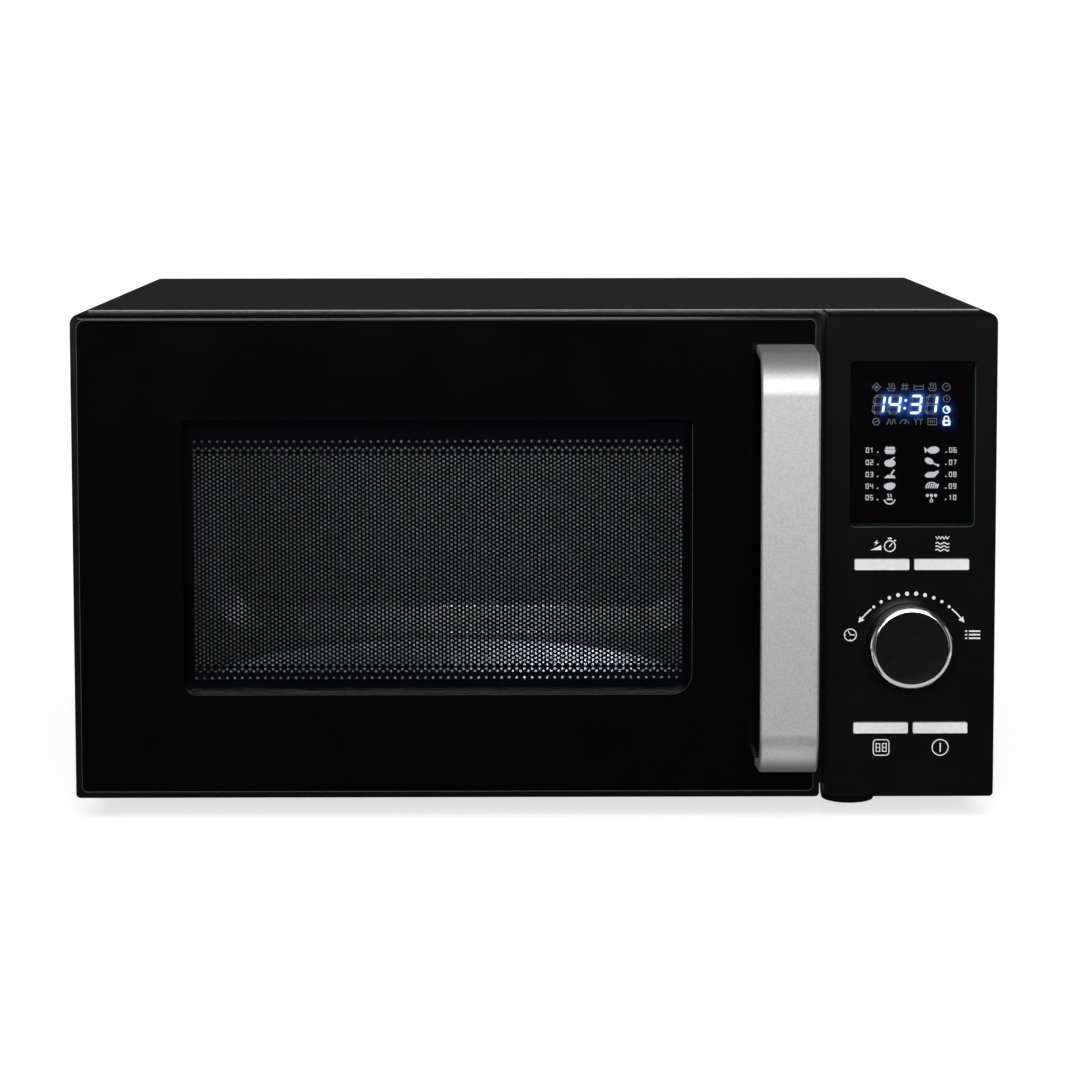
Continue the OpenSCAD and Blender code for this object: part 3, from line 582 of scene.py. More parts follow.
def door_front():
    """The glossy front, open at the window and the handle's posts, and the window's lip."""
    window = rounded(*WIN, [8, 12, 3.2, 3.2], 10)[::-1]
    posts = [arc(HAN_X, HAN_Z + s * POST_UP, 2.2, 360, 15, 23) for s in (-1, 1)]
    front = plate("front", [rounded(*grown(DOOR, -INSET), [3.5, 3.5, 3.5, 5]), window, *posts],
                  FACE_Y, Y_D + 3.4, 0.35, 3)
    merge(front, plate("lip", [rounded(*grown(WIN, 3), [11, 15, 6.2, 6.2], 10), window],
                       Y_D + 3.2, Y_D + 8, 0.1, 1))
    piece("door_glass_front", front, "door", "gloss", ("door_panel",), "door_panel", 40)


def seam_highlight_line():
    """Painted highlight: a pale thin ring where the surround meets the glossy front."""
    seam_highlight = Solids(FACE_Y - 0.02, FACE_Y + 1.2)
    seam_highlight.ring(rounded(*grown(DOOR, 0.25 - INSET), [3.6, 3.6, 3.6, 5.2]),
              rounded(*grown(DOOR, -0.15 - INSET), [3.2, 3.2, 3.2, 4.8]))
    seam_highlight.done("door_seam_highlight", "door", "seam_highlight")


def screen():
    """The perforated sheet: hexagonal cells, each with a hexagonal hole, in two halves. The
    holes leave out whole rows near the top and the bottom."""
    lo = span("door_screen")[0]
    planes = lo[1] * MM, (lo[1] + 0.5) * MM
    pitch, cols, top = 2.6, 128, 108       # top is the level of the highest holes
    step, cell, hole = pitch * math.sqrt(3) / 2, pitch / math.sqrt(3), 0.83
    x0, z0 = (WIN[0] + WIN[1]) / 2 - (cols - 1) / 2 * step, WIN[2] + 7.2
    solid = {-1, 1, 2, 5, top - 5, top - 2, top - 1, top + 1}

    def half(name, first, last):
        bm, grid, sides = bmesh.new(), {}, {}

        def corner(x, z, layer):
            key = (round(x * 50), round(z * 50), layer)
            if key not in grid:
                grid[key] = bm.verts.new((x * MM, planes[layer], z * MM))
            return grid[key]

        for c in range(first, last):
            for level in range(-(c % 2), top + 2, 2):
                centre = x0 + c * step, z0 + level * pitch / 2
                fr, bk = ([corner(x, z, layer) for x, z in arc(*centre, cell, 0, 300, 5)]
                          for layer in (0, 1))
                for k in range(6):
                    j = (k + 1) % 6
                    sides.setdefault(frozenset((fr[k], fr[j])), []).append(
                        (fr[k], fr[j], bk[j], bk[k]))
                if level in solid:
                    bm.faces.new(fr)
                    bm.faces.new(bk[::-1])
                    continue
                nf, nb = ([bm.verts.new((x * MM, y, z * MM))
                           for x, z in arc(*centre, hole, 0, 300, 5)] for y in planes)
                for k in range(6):
                    j = (k + 1) % 6
                    bm.faces.new((fr[k], fr[j], nf[j], nf[k]))
                    bm.faces.new((bk[j], bk[k], nb[k], nb[j]))
                    bm.faces.new((nf[k], nf[j], nb[j], nb[k]))
        for quads in sides.values():
            if len(quads) == 1:            # a side that no other cell shares
                bm.faces.new(quads[0])
        piece(name, bm, "door", "screen", ("door_screen",), "door_screen", smooth=False)

    half("screen_sheet_a", 0, cols // 2)
    half("screen_sheet_b", cols // 2, cols)
    right, high = x0 + (cols - 1) * step, z0 + top * pitch / 2
    opening = rounded(x0 - 0.9, right + 0.9, z0 - 0.8, high + 0.8, 0.6, 3)[::-1]
    bm = plate("border", [rounded(*grown(WIN, 1), 5), opening], lo[1] - 0.6, lo[1] - 0.02, 0.1, 1)
    piece("screen_border", bm, "door", "border", slot="door_screen")


def handle():
    """The strap swept along its side profile, with rounded long edges, on two posts."""
    end, bend, thick = HAN_L / 2, 31.0, 5.0
    reach = FACE_Y - han_lo[1]
    bend_z = end - 2.6 - bend * math.sin(math.radians(52))

    def side(out, end, drop, r, start):
        """The upper half of a profile: out from the door, then round the bend."""
        knee = out - r + r * math.cos(math.radians(start))
        half = [(knee * k / 5, end - drop * k / 5) for k in range(5)]
        half += arc(out - r, bend_z, r, start, 0, 28)
        return half + [(y, -z) for y, z in reversed(half)]

    outer = side(reach, end, 2.6, bend, 52)
    inner = side(reach - thick, end - thick, 2.4, bend - thick, 48.9)
    section = []                         # (across, 0 for the outer face or 1, depth)
    for sx, face, r, order in ((-1, 0, 1.5, -1), (1, 0, 1.5, 1), (1, 1, 1.0, -1),
                               (-1, 1, 1.0, 1)):
        turn = [math.radians(18 * k) for k in range(6)]
        section += [(sx * (HAN_W / 2 - r * (1 - math.sin(q))), face, r * (1 - math.cos(q)))
                    for q in turn[::order]]
    bm = bmesh.new()
    rows = []
    for ends in zip(outer, inner):
        a, b = (Vector(p) for p in ends)
        inwards = (b - a).normalized()
        row = []
        for x, face, depth in section:
            p = b - inwards * depth if face else a + inwards * depth
            row.append(bm.verts.new(((HAN_X + x) * MM, (FACE_Y - p.x) * MM,
                                     (HAN_Z + p.y) * MM)))
        rows.append(row)
    skin(bm, rows)
    post = [(0, 6), (5, 6), (5, 1.9), (5.6, 0.6), (6.6, 0.02), (0, 0.02)]
    for s in (-1, 1):
        merge(bm, lathe([(r, FACE_Y - d) for r, d in post], (HAN_X, HAN_Z + s * POST_UP),
                        count=40))
    piece("handle_strap", bm, "door", "silver", ("door_handle",), "door_handle", 28)


def spring():
    """A coil of round wire in place of the ribbed sleeve."""
    lo, hi = span("latch_spring")
    x, y = (lo[0] + hi[0]) / 2, (lo[1] + hi[1]) / 2
    radius, wire, turns, per_turn, sides = 2.95, 0.42, 8, 28, 8
    z0, z1 = lo[2] + wire, hi[2] - wire
    bm, rows = bmesh.new(), []
    for i in range(turns * per_turn + 1):
        a = 2 * math.pi * i / per_turn
        out = Vector((math.cos(a), math.sin(a), 0))
        centre = Vector((x, y, z0 + (z1 - z0) * i / (turns * per_turn))) + out * radius
        rows.append([bm.verts.new((centre + out * wire * math.cos(q)
                                   + Vector((0, 0, wire * math.sin(q)))) * MM)
                     for q in (2 * math.pi * k / sides for k in range(sides))])
    skin(bm, rows)
    coil = piece("latch_coil", bm, "door", "spring", ("latch_spring",), "latch_spring", 60)
    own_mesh(coil)


soft("door_frame", "door_surround", 0.3, dip=TOP_DIP, rules=(TOP_CHAMFER,))
door_front()
seam_highlight_line()
flat_glass("window_pane", "window_glass", "door", "smoke", 5, 0.3)
screen()
soft("door_pan", "door_inner_pan")
soft("choke_cover", "door_choke_trim")
soft("latch_hooks", "latch_bar")
handle()
spring()


# ---------------- control panel
def recess_edge(mid, _):
    """True for the front edges of the display's recess."""
    return (abs(mid.y - Y_D) < 0.2 and DISP[0] - 1 < mid.x < DISP[1] + 1
            and DISP[2] - 1 < mid.z < DISP[3] + 1)


soft("control_fascia", "fascia_shell", 0.35, 3, dip=TOP_DIP,
     rules=(TOP_CHAMFER, (recess_edge, 0.7, 4)))
for n in ("button_tl", "button_tr", "button_bl", "button_br"):
    soft(n, n.replace("button", "key"), 0.5, 3, turn=40)
flat_glass("display_window", "display_lens", "cabinet", "lens", 3, 0.2)


def knob():
    """A dished black cap, the bright ring round its face and the black skirt behind it."""
    def turned(name, profile, material, **more):
        bm = lathe(profile, (KNOB_X, KNOB_Z), closed=profile[0][0] > 0)
        piece(name, bm, "knob", material, **more)

    base, ring = knob_hi[1], knob_lo[1]
    cap_lo, cap_hi = span("knob_cap")
    face, r = cap_lo[1], KNOB_R - 2.8
    turned("knob_face", [
        (0, face + 0.9), (r * 0.5, face + 0.75), (r * 0.8, face + 0.45), (r - 1.3, face + 0.1),
        (r - 0.5, face), (r - 0.12, face + 0.3), (r, face + 0.9), (r, base - 0.1),
        (r - 2.4, base - 0.1), (r - 2.4, face + 4), (5.5, face + 4), (5.5, base),
        (3, base + 0.4), (3, cap_hi[1]), (0, cap_hi[1])],
        "knob", stands_for=("knob_cap",), slot="knob_cap", sharp=30)
    turned("knob_bright_ring", [(KNOB_R - u, ring + d) for u, d in (
        (2.7, 3.2), (0.1, 3.2), (0, 3.1), (0, 1.9), (0.06, 1.66), (0.22, 1.42), (0.5, 1.12),
        (0.75, 0.88), (1.0, 0.66), (1.25, 0.48), (1.5, 0.32), (1.75, 0.19), (2.0, 0.1),
        (2.25, 0.03), (2.5, 0), (2.66, 0.1), (2.7, 0.5))],
        "chrome", stands_for=("knob_ring",), slot="knob_ring", sharp=30)
    turned("knob_skirt", [
        (KNOB_R - 2.7, base), (KNOB_R - 0.5, base), (KNOB_R - 0.2, base - 0.3),
        (KNOB_R - 0.2, ring + 3.2), (KNOB_R - 2.7, ring + 3.2)], "knob", slot="knob_cap")


knob()


# ---------------- prints on the panel
def power_mark(s):
    """Bolt over a rising wedge, beside a stopwatch."""
    s.poly([(-2.0, 3.2), (-4.4, 1.3), (-3.0, 1.3), (-4.0, -0.4), (-1.3, 1.7), (-2.7, 1.7)])
    s.poly([(-6.4, -2.9), (0, -2.9), (0, 0)])
    s.circle(5.0, -0.6, 3.15, 0.62)
    s.line([(4.7, -1.1), (6.3, 1.0)], 0.6)
    s.box(3.9, 6.1, 3.5, 4.3)
    s.poly([(7.2, 2.6), (8.0, 1.9), (8.7, 2.6), (7.9, 3.3)])


def grill_mark(s):
    """Zigzag over three waves."""
    s.line([(i - 4, 4.1 if i % 2 == 0 else 2.5) for i in range(9)], 0.42)
    for z in (0, -2, -4):
        s.line([(q * 0.5 - 4, z + 0.5 * math.sin(q * math.pi / 4)) for q in range(17)], 0.62)


def clock_mark(s):
    s.circle(0, 0, 3.5, 0.55)
    s.line([(-1.2, 2.3), (0, 0), (2.5, 0)], 0.5)
    for x, z in ((-2.9, 0), (0, -2.8)):
        s.box(x - 0.3, x + 0.3, z - 0.3, z + 0.3)


def list_mark(s):
    for z in (-2.1, 0, 2.1):
        s.box(-4.4, -3.2, z - 0.45, z + 0.45)
        s.box(-2.2, 4.4, z - 0.45, z + 0.45)


def defrost_mark(s):
    """Two plain figures in a rounded frame."""
    s.ring(rounded(-4.9, 4.9, -4.9, 4.9, 2.2, 5), rounded(-4.35, 4.35, -4.35, 4.35, 1.7, 5))
    for x in (-1.9, 1.9):
        s.line([(x - 1.1, -2.3), (x + 1.1, -2.3), (x + 1.1, 2.3), (x - 1.1, 2.3)], 0.5, True)
        s.box(x - 1.1, x + 1.1, -0.25, 0.25)


def start_mark(s):
    s.circle(0, 0, 4.7, 0.6)
    s.box(-0.3, 0.4, -2.7, 2.7)


def scale_marks(s, radius=34.9):
    """Dots round the knob, larger in the middle, with an arrow at each end."""
    for k in range(10):
        a = math.radians(90 + 8.72 * (k - 4.5))
        s.disc(radius * math.cos(a), radius * math.sin(a), 1.28 - 0.09 * abs(k - 4.5))
    for side in (-1, 1):
        shaft = []
        for k in range(6):
            a, r = math.radians(90 + side * (42.5 + k * 2.6)), radius + 0.1 * k
            shaft.append((r * math.cos(a), r * math.sin(a)))
        s.line(shaft, 0.8)
        before, tip = (Vector(p) for p in shaft[-2:])
        d = (tip - before).normalized()
        n = Vector((-d.y, d.x))
        s.poly([tuple(tip + n * 1.75 - d * 0.3), tuple(tip + d * 3.0),
                tuple(tip - n * 1.75 - d * 0.3)])


ink = Solids(Y_D - 0.12, Y_D + 0.05)
for mark, x, z in ((power_mark, KEY_L - 0.35, KEY_T + 11.3),
                   (grill_mark, KEY_R + 0.45, KEY_T + 12.3),
                   (clock_mark, KNOB_X - 34.3, KNOB_Z + 5.4),
                   (list_mark, KNOB_X + 37.4, KNOB_Z + 5.4),
                   (defrost_mark, KEY_L + 0.55, KEY_B - 11.9),
                   (start_mark, KEY_R + 0.35, KEY_B - 11.9),
                   (scale_marks, KNOB_X + 1.4, KNOB_Z - 5.1)):
    ink.at(x, z)
    mark(ink)
ink.done("panel_prints", "cabinet", "ink")

# ---------------- display
Y_DISP = mod_lo[1]
SEGS = {"1": "bc", "3": "abgcd", "4": "fgbc"}
glow_lines = []


def seven(lit, dim, x0, x1, z0, z1, digit, w=1.5, lean=0.12):
    """One slanted seven-segment figure: lit segments in one mesh, the others in another."""
    mid = (z0 + z1) / 2

    def slant(pts):
        return [(x + (z - mid) * lean, z) for x, z in pts]

    g, h = w * 0.10, w / 2
    shapes, cores = {}, {}
    for key, z in (("a", z1 - h), ("g", mid), ("d", z0 + h)):
        shapes[key] = [(x0 + h + g, z), (x0 + w + g, z + h), (x1 - w - g, z + h),
                       (x1 - h - g, z), (x1 - w - g, z - h), (x0 + w + g, z - h)]
        cores[key] = [(x0 + w, z), (x1 - w, z)]
    for key, x, lo, hi in (("f", x0 + h, mid, z1 - h), ("b", x1 - h, mid, z1 - h),
                           ("e", x0 + h, z0 + h, mid), ("c", x1 - h, z0 + h, mid)):
        shapes[key] = [(x, lo + g), (x + h, lo + h + g), (x + h, hi - h - g), (x, hi - g),
                       (x - h, hi - h - g), (x - h, lo + h + g)]
        cores[key] = [(x, lo + w / 2), (x, hi - w / 2)]
    for key, pts in shapes.items():
        if key in SEGS[digit]:
            lit.poly(slant(pts))
            glow_lines.append(slant(cores[key]))
        else:
            outline = slant(pts)
            c = sum((Vector(p) for p in outline), Vector((0, 0))) / 6
            dim.ring(outline, [tuple(c + (Vector(p) - c) * 0.62) for p in outline])


# places on the display are measured from its lower left corner
lit, dim, legend = (Solids(Y_DISP - out, Y_DISP + 0.2, DISP[0], DISP[2])
                    for out in (0.04, 0.03, 0.03))
for (x0, x1), d in zip(((13.1, 20.3), (22.0, 29.6), (34.4, 41.8), (43.8, 50.9)), "1431"):
    seven(lit, dim, x0, x1, 65.2, 76.6, d)
COLON_X = 32.0
for z in (73.3, 68.7):
    lit.disc(COLON_X + (z - 70.8) * 0.12, z, 0.8, 12)
    glow_lines.append([(COLON_X, z - 0.1), (COLON_X, z + 0.1)])

# lit clock and lock beside the time, dim clock above them
CLOCK_X, CLOCK_Z, LOCK_Z = 56.2, 67.8, 60.8
lit.ring(arc(CLOCK_X, CLOCK_Z, 2.3, 0, 345, 23), arc(CLOCK_X, CLOCK_Z, 1.65, 0, 345, 23))
lit.poly([(CLOCK_X, CLOCK_Z)] + arc(CLOCK_X, CLOCK_Z, 1.75, 90, -30, 8))
lit.ring(rounded(54.0, 58.5, 58.4, 61.8, 0.7, 3), rounded(55.1, 57.4, 59.4, 60.8, 0.4, 3))
lit.line([(54.9, 61.7), (54.9, 63.0), (55.5, 63.8), (56.9, 63.8), (57.5, 63.0), (57.5, 61.7)],
         0.75)
for z in (CLOCK_Z, LOCK_Z):
    glow_lines.append([(CLOCK_X - 1.2, z), (CLOCK_X + 1.2, z)])
dim.circle(CLOCK_X, 74.2, 2.0, 0.4)
dim.line([(CLOCK_X, 75.4), (CLOCK_X, 74.2), (57.1, 73.8)], 0.4)


def diamond(s, r):
    s.line([(0, r), (r, 0), (0, -r), (-r, 0)], STROKE, True)
    s.disc(0, 0, r * 0.4, 8)


def steam(s, r):
    for x in (-0.5 * r, 0.1 * r, 0.7 * r):
        s.line([(x + 0.15 * r * math.sin(q * math.pi / 2), q * r * 0.25) for q in range(5)],
               STROKE)
    s.line([(-r, -r * 0.3), (-r * 0.6, -r * 0.9), (r * 0.6, -r * 0.9), (r, -r * 0.3)],
           STROKE, True)


def grid(s, r):
    for k in (-0.4 * r, 0.4 * r):
        s.box(-r * 0.9, r * 0.9, k - STROKE / 2, k + STROKE / 2)
        s.line([(k - r * 0.15, -r * 0.9), (k + r * 0.15, r * 0.9)], STROKE)


def tray(s, r):
    s.line([(-r * 1.1, r * 0.6), (-r * 1.1, -r * 0.6), (r * 1.1, -r * 0.6),
            (r * 1.1, r * 0.6)], STROKE)
    s.box(-r * 0.9, r * 0.9, r * 0.1, r * 0.1 + STROKE)


def clock(s, r):
    s.circle(0, 0, r * 0.9, STROKE)
    s.line([(r * 0.4, r * 0.4), (0, 0), (-r * 0.3, 0)], STROKE)


def square_wave(s, r):
    s.line([(q * r * 0.3 - r * 1.2, r * 0.6 * (1 if (q // 2) % 2 else -1)) for q in range(9)],
           STROKE)


def cycle(s, r):
    s.circle(0, 0, r * 0.85, STROKE * 1.2)
    s.line([(-r * 0.8, -r * 0.3), (r * 0.8, r * 0.3)], STROKE)


def gauge(s, r):
    s.line(arc(0, -r * 0.6, r * 1.1, 180, 0, 10), STROKE)
    s.line([(0, -r * 0.6), (r * 0.5, r * 0.2)], STROKE * 1.3)


def sprout(s, r):
    for x in (-0.6 * r, 0.6 * r):
        s.box(x - STROKE / 2, x + STROKE / 2, -r * 0.8, r * 0.5)
        s.line([(x - r * 0.5, r * 0.8), (x, r * 0.3), (x + r * 0.5, r * 0.8)], STROKE)


def rack(s, r):
    s.line([(-r * 1.1, -r * 0.8), (r * 1.1, -r * 0.8), (r * 1.1, r * 0.8),
            (-r * 1.1, r * 0.8)], STROKE, True)
    for x in (-0.5 * r, 0, 0.5 * r):
        s.box(x - STROKE / 2, x + STROKE / 2, -r * 0.4, r * 0.4)


def on_display(s, x, z):
    s.at(DISP[0] + x, DISP[2] + z)
    return s


STROKE = 0.42
for z, r, row in ((81.1, 2.4, (diamond, steam, grid, tray, steam, clock)),
                  (60.8, 2.3, (cycle, square_wave, gauge, sprout, rack))):
    for x, mark in zip((15.2, 23.8, 31.7, 39.8, 47.9, 56.0), row):
        mark(on_display(dim, x, z), r)

# numbered programmes in two columns, drawn as small stroke figures
FIG = {"0": [[(0, 0), (1, 0), (1, 2), (0, 2), (0, 0)]],
       "1": [[(0.1, 1.5), (0.6, 2), (0.6, 0)]],
       "2": [[(0, 2), (1, 2), (1, 1), (0, 1), (0, 0), (1, 0)]],
       "3": [[(0, 2), (1, 2), (1, 0), (0, 0)], [(0.2, 1), (1, 1)]],
       "4": [[(0, 2), (0, 1), (1, 1)], [(1, 2), (1, 0)]],
       "5": [[(1, 2), (0, 2), (0, 1), (1, 1), (1, 0), (0, 0)]],
       "6": [[(1, 2), (0, 2), (0, 0), (1, 0), (1, 1), (0, 1)]],
       "7": [[(0, 2), (1, 2), (0.4, 0)]],
       "8": [[(0, 0), (1, 0), (1, 2), (0, 2), (0, 0)], [(0, 1), (1, 1)]],
       "9": [[(0, 0), (1, 0), (1, 2), (0, 2), (0, 1), (1, 1)]]}


def figure(s, text, height=3.1, w=0.46, gap=1.15):
    wide, half = height * 0.45, (height - w) / 2
    for i, ch in enumerate(text):
        for stroke in FIG[ch]:
            s.line([(i * (wide + gap) + u * wide, (v - 1) * half) for u, v in stroke], w)


def blob(s, x, z, rx, rz, tilt=0.0, wave=0.0, lobes=5, count=20):
    """A filled ellipse, tilted in degrees; the wave gives its outline that many lobes."""
    c, d = math.cos(math.radians(tilt)), math.sin(math.radians(tilt))
    pts = []
    for k in range(count):
        a = 2 * math.pi * k / count
        r = 1 + wave * math.sin(lobes * a)
        u, v = rx * r * math.cos(a), rz * r * math.sin(a)
        pts.append((x + u * c - v * d, z + u * d + v * c))
    s.poly(pts)


def bowl(s):
    s.poly([(-3.4, 0.2), (-2.4, -2.2), (2.4, -2.2), (3.4, 0.2)])
    for x in (-1.8, 0, 1.8):
        blob(s, x, 1.2, 1.0, 0.9)


def pot(s):
    blob(s, 0, -0.5, 3.3, 2.2)
    s.line([(0.4, 1.5), (2.9, 2.9)], 0.8)


def wedge(s):
    s.poly([(-3.4, -2.2), (3.4, -2.2), (2.6, -0.6), (-1.4, -0.2)])
    s.line([(0.6, -0.2), (2.6, 2.8)], 0.9)


def tuber(s):
    blob(s, 0, 0, 3.4, 2.1, 8, 0.05, 3)


def cup(s):
    s.line(arc(0, -0.6, 3.2, 190, 350, 8), 0.8)
    s.poly([(-1.8, -1.6), (1.8, -1.6), (1.4, -0.4), (-1.4, -0.4)])
    for x in (-0.8, 0.8):
        s.line([(x + 0.3 * math.sin(q * math.pi / 2), 0.2 + q * 0.5) for q in range(5)], 0.55)


def fish(s):
    blob(s, 0.9, 0, 3.5, 2.1, 6)
    s.poly([(-2.2, 0), (-4.6, 1.9), (-4.0, -1.9)])


def leg(s):
    blob(s, -1.6, 0.8, 2.7, 1.7, -28)
    s.line([(0.4, -0.4), (3.2, -1.7)], 0.8)
    blob(s, 3.6, -1.7, 0.8, 0.8)


def roast(s):
    blob(s, -0.4, -0.2, 3.7, 1.7, 8, 0.06, 4)
    blob(s, 2.8, 1.1, 1.5, 0.9, 30)


def loaf(s):
    for k in range(6):
        s.line([(k * 1.3 - 3.4, -1.3), (k * 1.3 - 2.4, 1.4)], 0.75)
    s.line(arc(0, -1.4, 3.6, 160, 20, 8), 0.6)


def drops(s):
    for x in (-2.4, 0, 2.4):
        s.disc(x, 1.2, 0.95, 12)
    s.circle(0, -1.9, 0.8, 0.5, 14)
    s.box(-0.25, 0.25, -1.2, 0.3)


for i, (z, left, right) in enumerate((
        (44.1, bowl, fish), (36.9, pot, leg), (29.8, wedge, roast), (22.9, tuber, loaf),
        (16.2, cup, drops))):
    for number, number_x, dot_x, dish_x, dish in ((i + 1, 9.5, 16.3, 23.4, left),
                                                  (i + 6, 58.2, 56.2, 47.9, right)):
        figure(on_display(legend, number_x, z), f"{number:02d}")
        on_display(legend, dot_x, z - 1.2).disc(0, 0, 0.45, 10)
        dish(on_display(legend, dish_x, z))
lit.done("display_lit", "cabinet", "lit")
dim.done("display_dim", "cabinet", "dim")
legend.done("display_legend", "cabinet", "legend")


def glow_at(x, z):
    """Strength of the light spilling round the lit figures, from the distance to them."""
    total = 0.0
    for (ax, az), (bx, bz) in glow_lines:
        dx, dz = bx - ax, bz - az
        t = max(0.0, min(1.0, ((x - ax) * dx + (z - az) * dz) / (dx * dx + dz * dz)))
        apart = (x - ax - t * dx) ** 2 + (z - az - t * dz) ** 2
        total += 0.45 * math.exp(-apart / 2.4) + 0.09 * math.exp(-apart / 12)
    return total


def glow_material():
    """The display's dark face, lit by its own vertex colours."""
    m = MATS["panel"].copy()
    m.name = "display_glow"
    t = m.node_tree
    b = next(n for n in t.nodes if n.type == "BSDF_PRINCIPLED")
    colours = node(t, "ShaderNodeVertexColor", layer_name="glow")
    t.links.new(colours.outputs[0], b.inputs["Emission Color"])
    b.inputs["Emission Strength"].default_value = 1.0
    return m


def display_field():
    """The display's dark face, rounded like its module, and a thin grid just in front of it
    whose points shine round the lit figures."""
    bm = plate("field", [rounded(*front_of(mod_lo, mod_hi), 2)], Y_DISP, Y_DISP + 4.4, 0.2, 2)
    piece("display_module_body", bm, "cabinet", "panel", ("display_module",),
          "display_module", 40)
    left, low, step, nx, nz = DISP[0] + 6.6, DISP[2] + 53.8, 0.6, 95, 55
    bm = bmesh.new()
    front, back = ([[bm.verts.new(((left + i * step) * MM, (Y_DISP + y) * MM,
                                   (low + j * step) * MM)) for j in range(nz + 1)]
                    for i in range(nx + 1)] for y in (-0.02, 0.1))
    for i in range(nx):
        for j in range(nz):
            for layer in (front, back):
                bm.faces.new((layer[i][j], layer[i + 1][j], layer[i + 1][j + 1],
                              layer[i][j + 1]))
    border = [(i, 0) for i in range(nx)] + [(nx, j) for j in range(nz)]
    border += [(nx - i, nz - j) for i, j in border]
    for (i, j), (p, q) in zip(border, border[1:] + border[:1]):
        bm.faces.new((front[i][j], front[p][q], back[p][q], back[i][j]))
    MATS["glow"] = glow_material()
    obj = piece("display_glow", bm, "cabinet", "glow", slot="display_module", smooth=False)
    attr = obj.data.color_attributes.new("glow", "FLOAT_COLOR", "POINT")
    for v, c in zip(obj.data.vertices, attr.data):
        total = glow_at(v.co.x / MM - DISP[0], v.co.z / MM - DISP[2])
        c.color = (0.05 * total, 0.20 * total, total, 1)


display_field()


# ---------------- stage
def stage(radius=9):
    """A pale floor inside a white surround. The lights alone light the object: neither of
    the two shows in it."""
    bm = bmesh.new()
    bmesh.ops.create_circle(bm, cap_ends=True, radius=radius, segments=96)
    floor = add_object("floor", bm)
    m = bpy.data.materials.new("floor_white")
    m.use_nodes = True
    for key, value in {"Base Color": (0.8, 0.8, 0.8, 1), "Roughness": 0.9,
                       "Specular IOR Level": 0.0, "Emission Color": (1, 1, 1, 1),
                       "Emission Strength": 0.70}.items():
        m.node_tree.nodes["Principled BSDF"].inputs[key].default_value = value
    floor.data.materials.append(m)
    bm = bmesh.new()
    bmesh.ops.create_uvsphere(bm, u_segments=64, v_segments=32, radius=radius)
    dome = add_object("surround", bm)
    m = bpy.data.materials.new("surround_white")
    m.use_nodes = True
    m.node_tree.nodes.clear()
    out = node(m.node_tree, "ShaderNodeOutputMaterial")
    shine = node(m.node_tree, "ShaderNodeEmission", Strength=1.05)
    m.node_tree.links.new(shine.outputs[0], out.inputs[0])
    dome.data.materials.append(m)
    dome.visible_shadow = False
    for obj in (floor, dome):
        obj.visible_glossy = False
        obj.visible_diffuse = False
    return floor


floor = stage()
world = bpy.data.worlds.new("world")
bpy.context.scene.world = world
world.use_nodes = True
world.node_tree.nodes["Background"].inputs[0].default_value = (1, 1, 1, 1)
world.node_tree.nodes["Background"].inputs[1].default_value = 0.03


# ---------------- lights, in metres and watts
def group(label, *objects):
    """A collection that a light is kept to."""
    made = bpy.data.collections.new(label)
    for obj in objects:
        made.objects.link(obj)
    return made


def named(label, *names):
    return group(label, *(bpy.data.objects[n] for n in names))


def light(name, kind, place, target, power, lit, glossy=True):
    data = bpy.data.lights.new(name, kind)
    data.energy = power
    obj = bpy.data.objects.new(name, data)
    obj.location = place
    obj.rotation_euler = (Vector(target) - Vector(place)).to_track_quat("-Z", "Y").to_euler()
    obj.visible_camera = False
    obj.visible_glossy = glossy
    obj.light_linking.receiver_collection = lit
    bpy.context.scene.collection.objects.link(obj)
    return data


def area(name, place, target, size, power, lit, glossy=True):
    data = light(name, "AREA", place, target, power, lit, glossy)
    data.shape, data.size, data.size_y = "RECTANGLE", *size
    return data


WHOLE = group("object_parts", *(o for o in bpy.context.scene.objects
                                if o.type == "MESH" and o != floor))
MIDDLE = (0, 0, 0.15)


def floor_light():
    """Soft and from above, so that the object shades the floor it stands on."""
    data = light("floor_sun", "SUN", (0, -4.2, 2.7), (0, 0, 0), 2.6, group("floor_only", floor))
    data.angle = math.radians(56)


def studio_lights():
    """Soft boxes round the object, with one for the cover's side and one that the rear
    plate mirrors."""
    area("top_soft", (0, -0.2, 2.6), (0, 0, 0.1), (2.6, 2.2), 34, WHOLE, glossy=False)
    area("front_key", (0, -3.2, 1.27), (0, 0, 0.2), (3.2, 1.55), 105, WHOLE)
    area("left_fill", (-2.6, -1.6, 0.8), (0.1, -0.1, 0.15), (0.8, 1.2), 14, WHOLE)
    area("back_fill", (0.4, 3.0, 1.4), MIDDLE, (2.4, 1.4), 34, WHOLE, glossy=False)
    area("right_fill", (2.7, 0.1, 1.0), MIDDLE, (2.4, 1.4), 30,
         named("cover_side", "cover_wrap", "handle_strap"))
    area("rear_gloss", (0.3, 3.2, 0.9), MIDDLE, (3.4, 1.8), 40,
         named("rear_pieces", "rear_sheet", "cover_screw_heads", "cord_inlet_bush"))


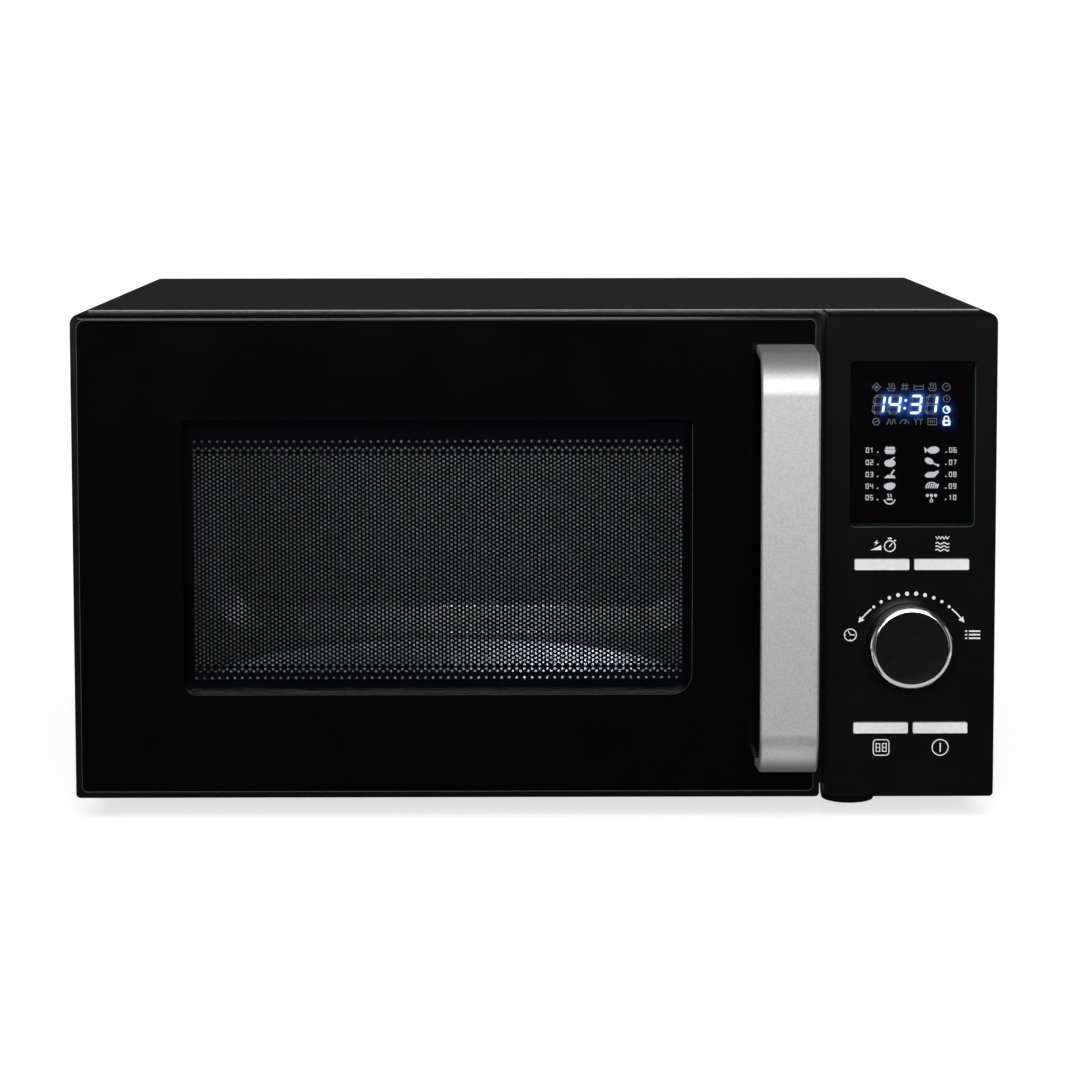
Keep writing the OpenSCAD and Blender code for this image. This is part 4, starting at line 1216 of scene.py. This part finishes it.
def cavity_lights():
    """Small cool lights under the oven's ceiling that show it through the holes; the last
    one shows in the sloping folds of its back wall only."""
    lo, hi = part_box("cavity_shell")
    x, y, top = (lo.x + hi.x) / 2, (lo.y + hi.y) / 2, hi.z - 0.012
    pool_x, fold_x = x + 0.0865, x + 0.05
    for data in (
            area("cavity_soft", (x, y, top), (x, y, 0), (0.26, 0.2), 0.24, WHOLE),
            area("cavity_key", (x + 0.03, lo.y + 0.045, top), (x, hi.y, 0.06), (0.10, 0.02),
                 0.5, WHOLE),
            area("cavity_pool", (pool_x, y + 0.05, top), (pool_x - 0.018, y + 0.09, 0.03),
                 (0.05, 0.03), 0.16, WHOLE)):
        data.color = (0.88, 0.95, 1.0)
    data.spread = math.radians(44)
    area("cavity_glint", (fold_x, y, top), (fold_x, hi.y, 0.06), (0.22, 0.012), 0.18,
         named("back_wall", "cavity_back_pressing"))


def edge_lights():
    """Reflections of the floor and of pale surroundings, kept to the handle's foot, the
    bright ring and the edges that face left."""
    foot = Vector((HAN_X * MM, han_lo[1] * MM, 0))
    area("handle_bounce", foot + Vector((0, -0.024, 0.012)), foot + Vector((0, 0.004, 0.06)),
         (0.06, 0.04), 0.008, named("strap_only", "handle_strap"))
    knob_at = Vector((KNOB_X, knob_lo[1], KNOB_Z)) * MM
    ring = named("ring_only", "knob_bright_ring")
    under = Vector((knob_at.x, knob_at.y - 0.13, 0.012))
    area("floor_bounce", under, under + Vector((0, 0, 1)), (0.7, 0.28), 0.36, ring)
    for name, away, size, power in (("ring_top", (-0.02, -0.2, 0.36), (0.6, 0.26), 0.6),
                                    ("ring_left", (-0.4, -0.12, 0), (0.2, 0.3), 0.07),
                                    ("ring_right", (0.4, -0.12, 0), (0.2, 0.3), 0.10)):
        area(name, knob_at + Vector(away), knob_at, size, power, ring)
    front = Y_D * MM
    area("left_glint", (knob_at.x - 1.0, front - 0.2, 0.08), (knob_at.x, front, 0.19),
         (0.4, 0.3), 4.0,
         named("left_edges", "fascia_shell", "door_surround", "door_glass_front"))


floor_light()
studio_lights()
cavity_lights()
edge_lights()


# ---------------- camera
def camera():
    """Stands where the photograph's corners of the front put it, in metres and degrees."""
    place, pan, tilt, roll = (-0.00566, -1.93215, 0.41071), -0.293, 90 - 4.838, -0.07
    data = bpy.data.cameras.new("camera")
    data.sensor_width, data.lens, data.shift_y, data.clip_end = 36, 100.9, -0.15, 60
    cam = bpy.data.objects.new("camera", data)
    bpy.context.scene.collection.objects.link(cam)
    cam.matrix_world = Matrix.Translation(place)
    for angle, axis in ((pan, "Z"), (tilt, "X"), (roll, "Z")):
        cam.matrix_world = cam.matrix_world @ Matrix.Rotation(math.radians(angle), 4, axis)
    bpy.context.scene.camera = cam


camera()
bpy.context.scene.view_settings.view_transform = "Standard"
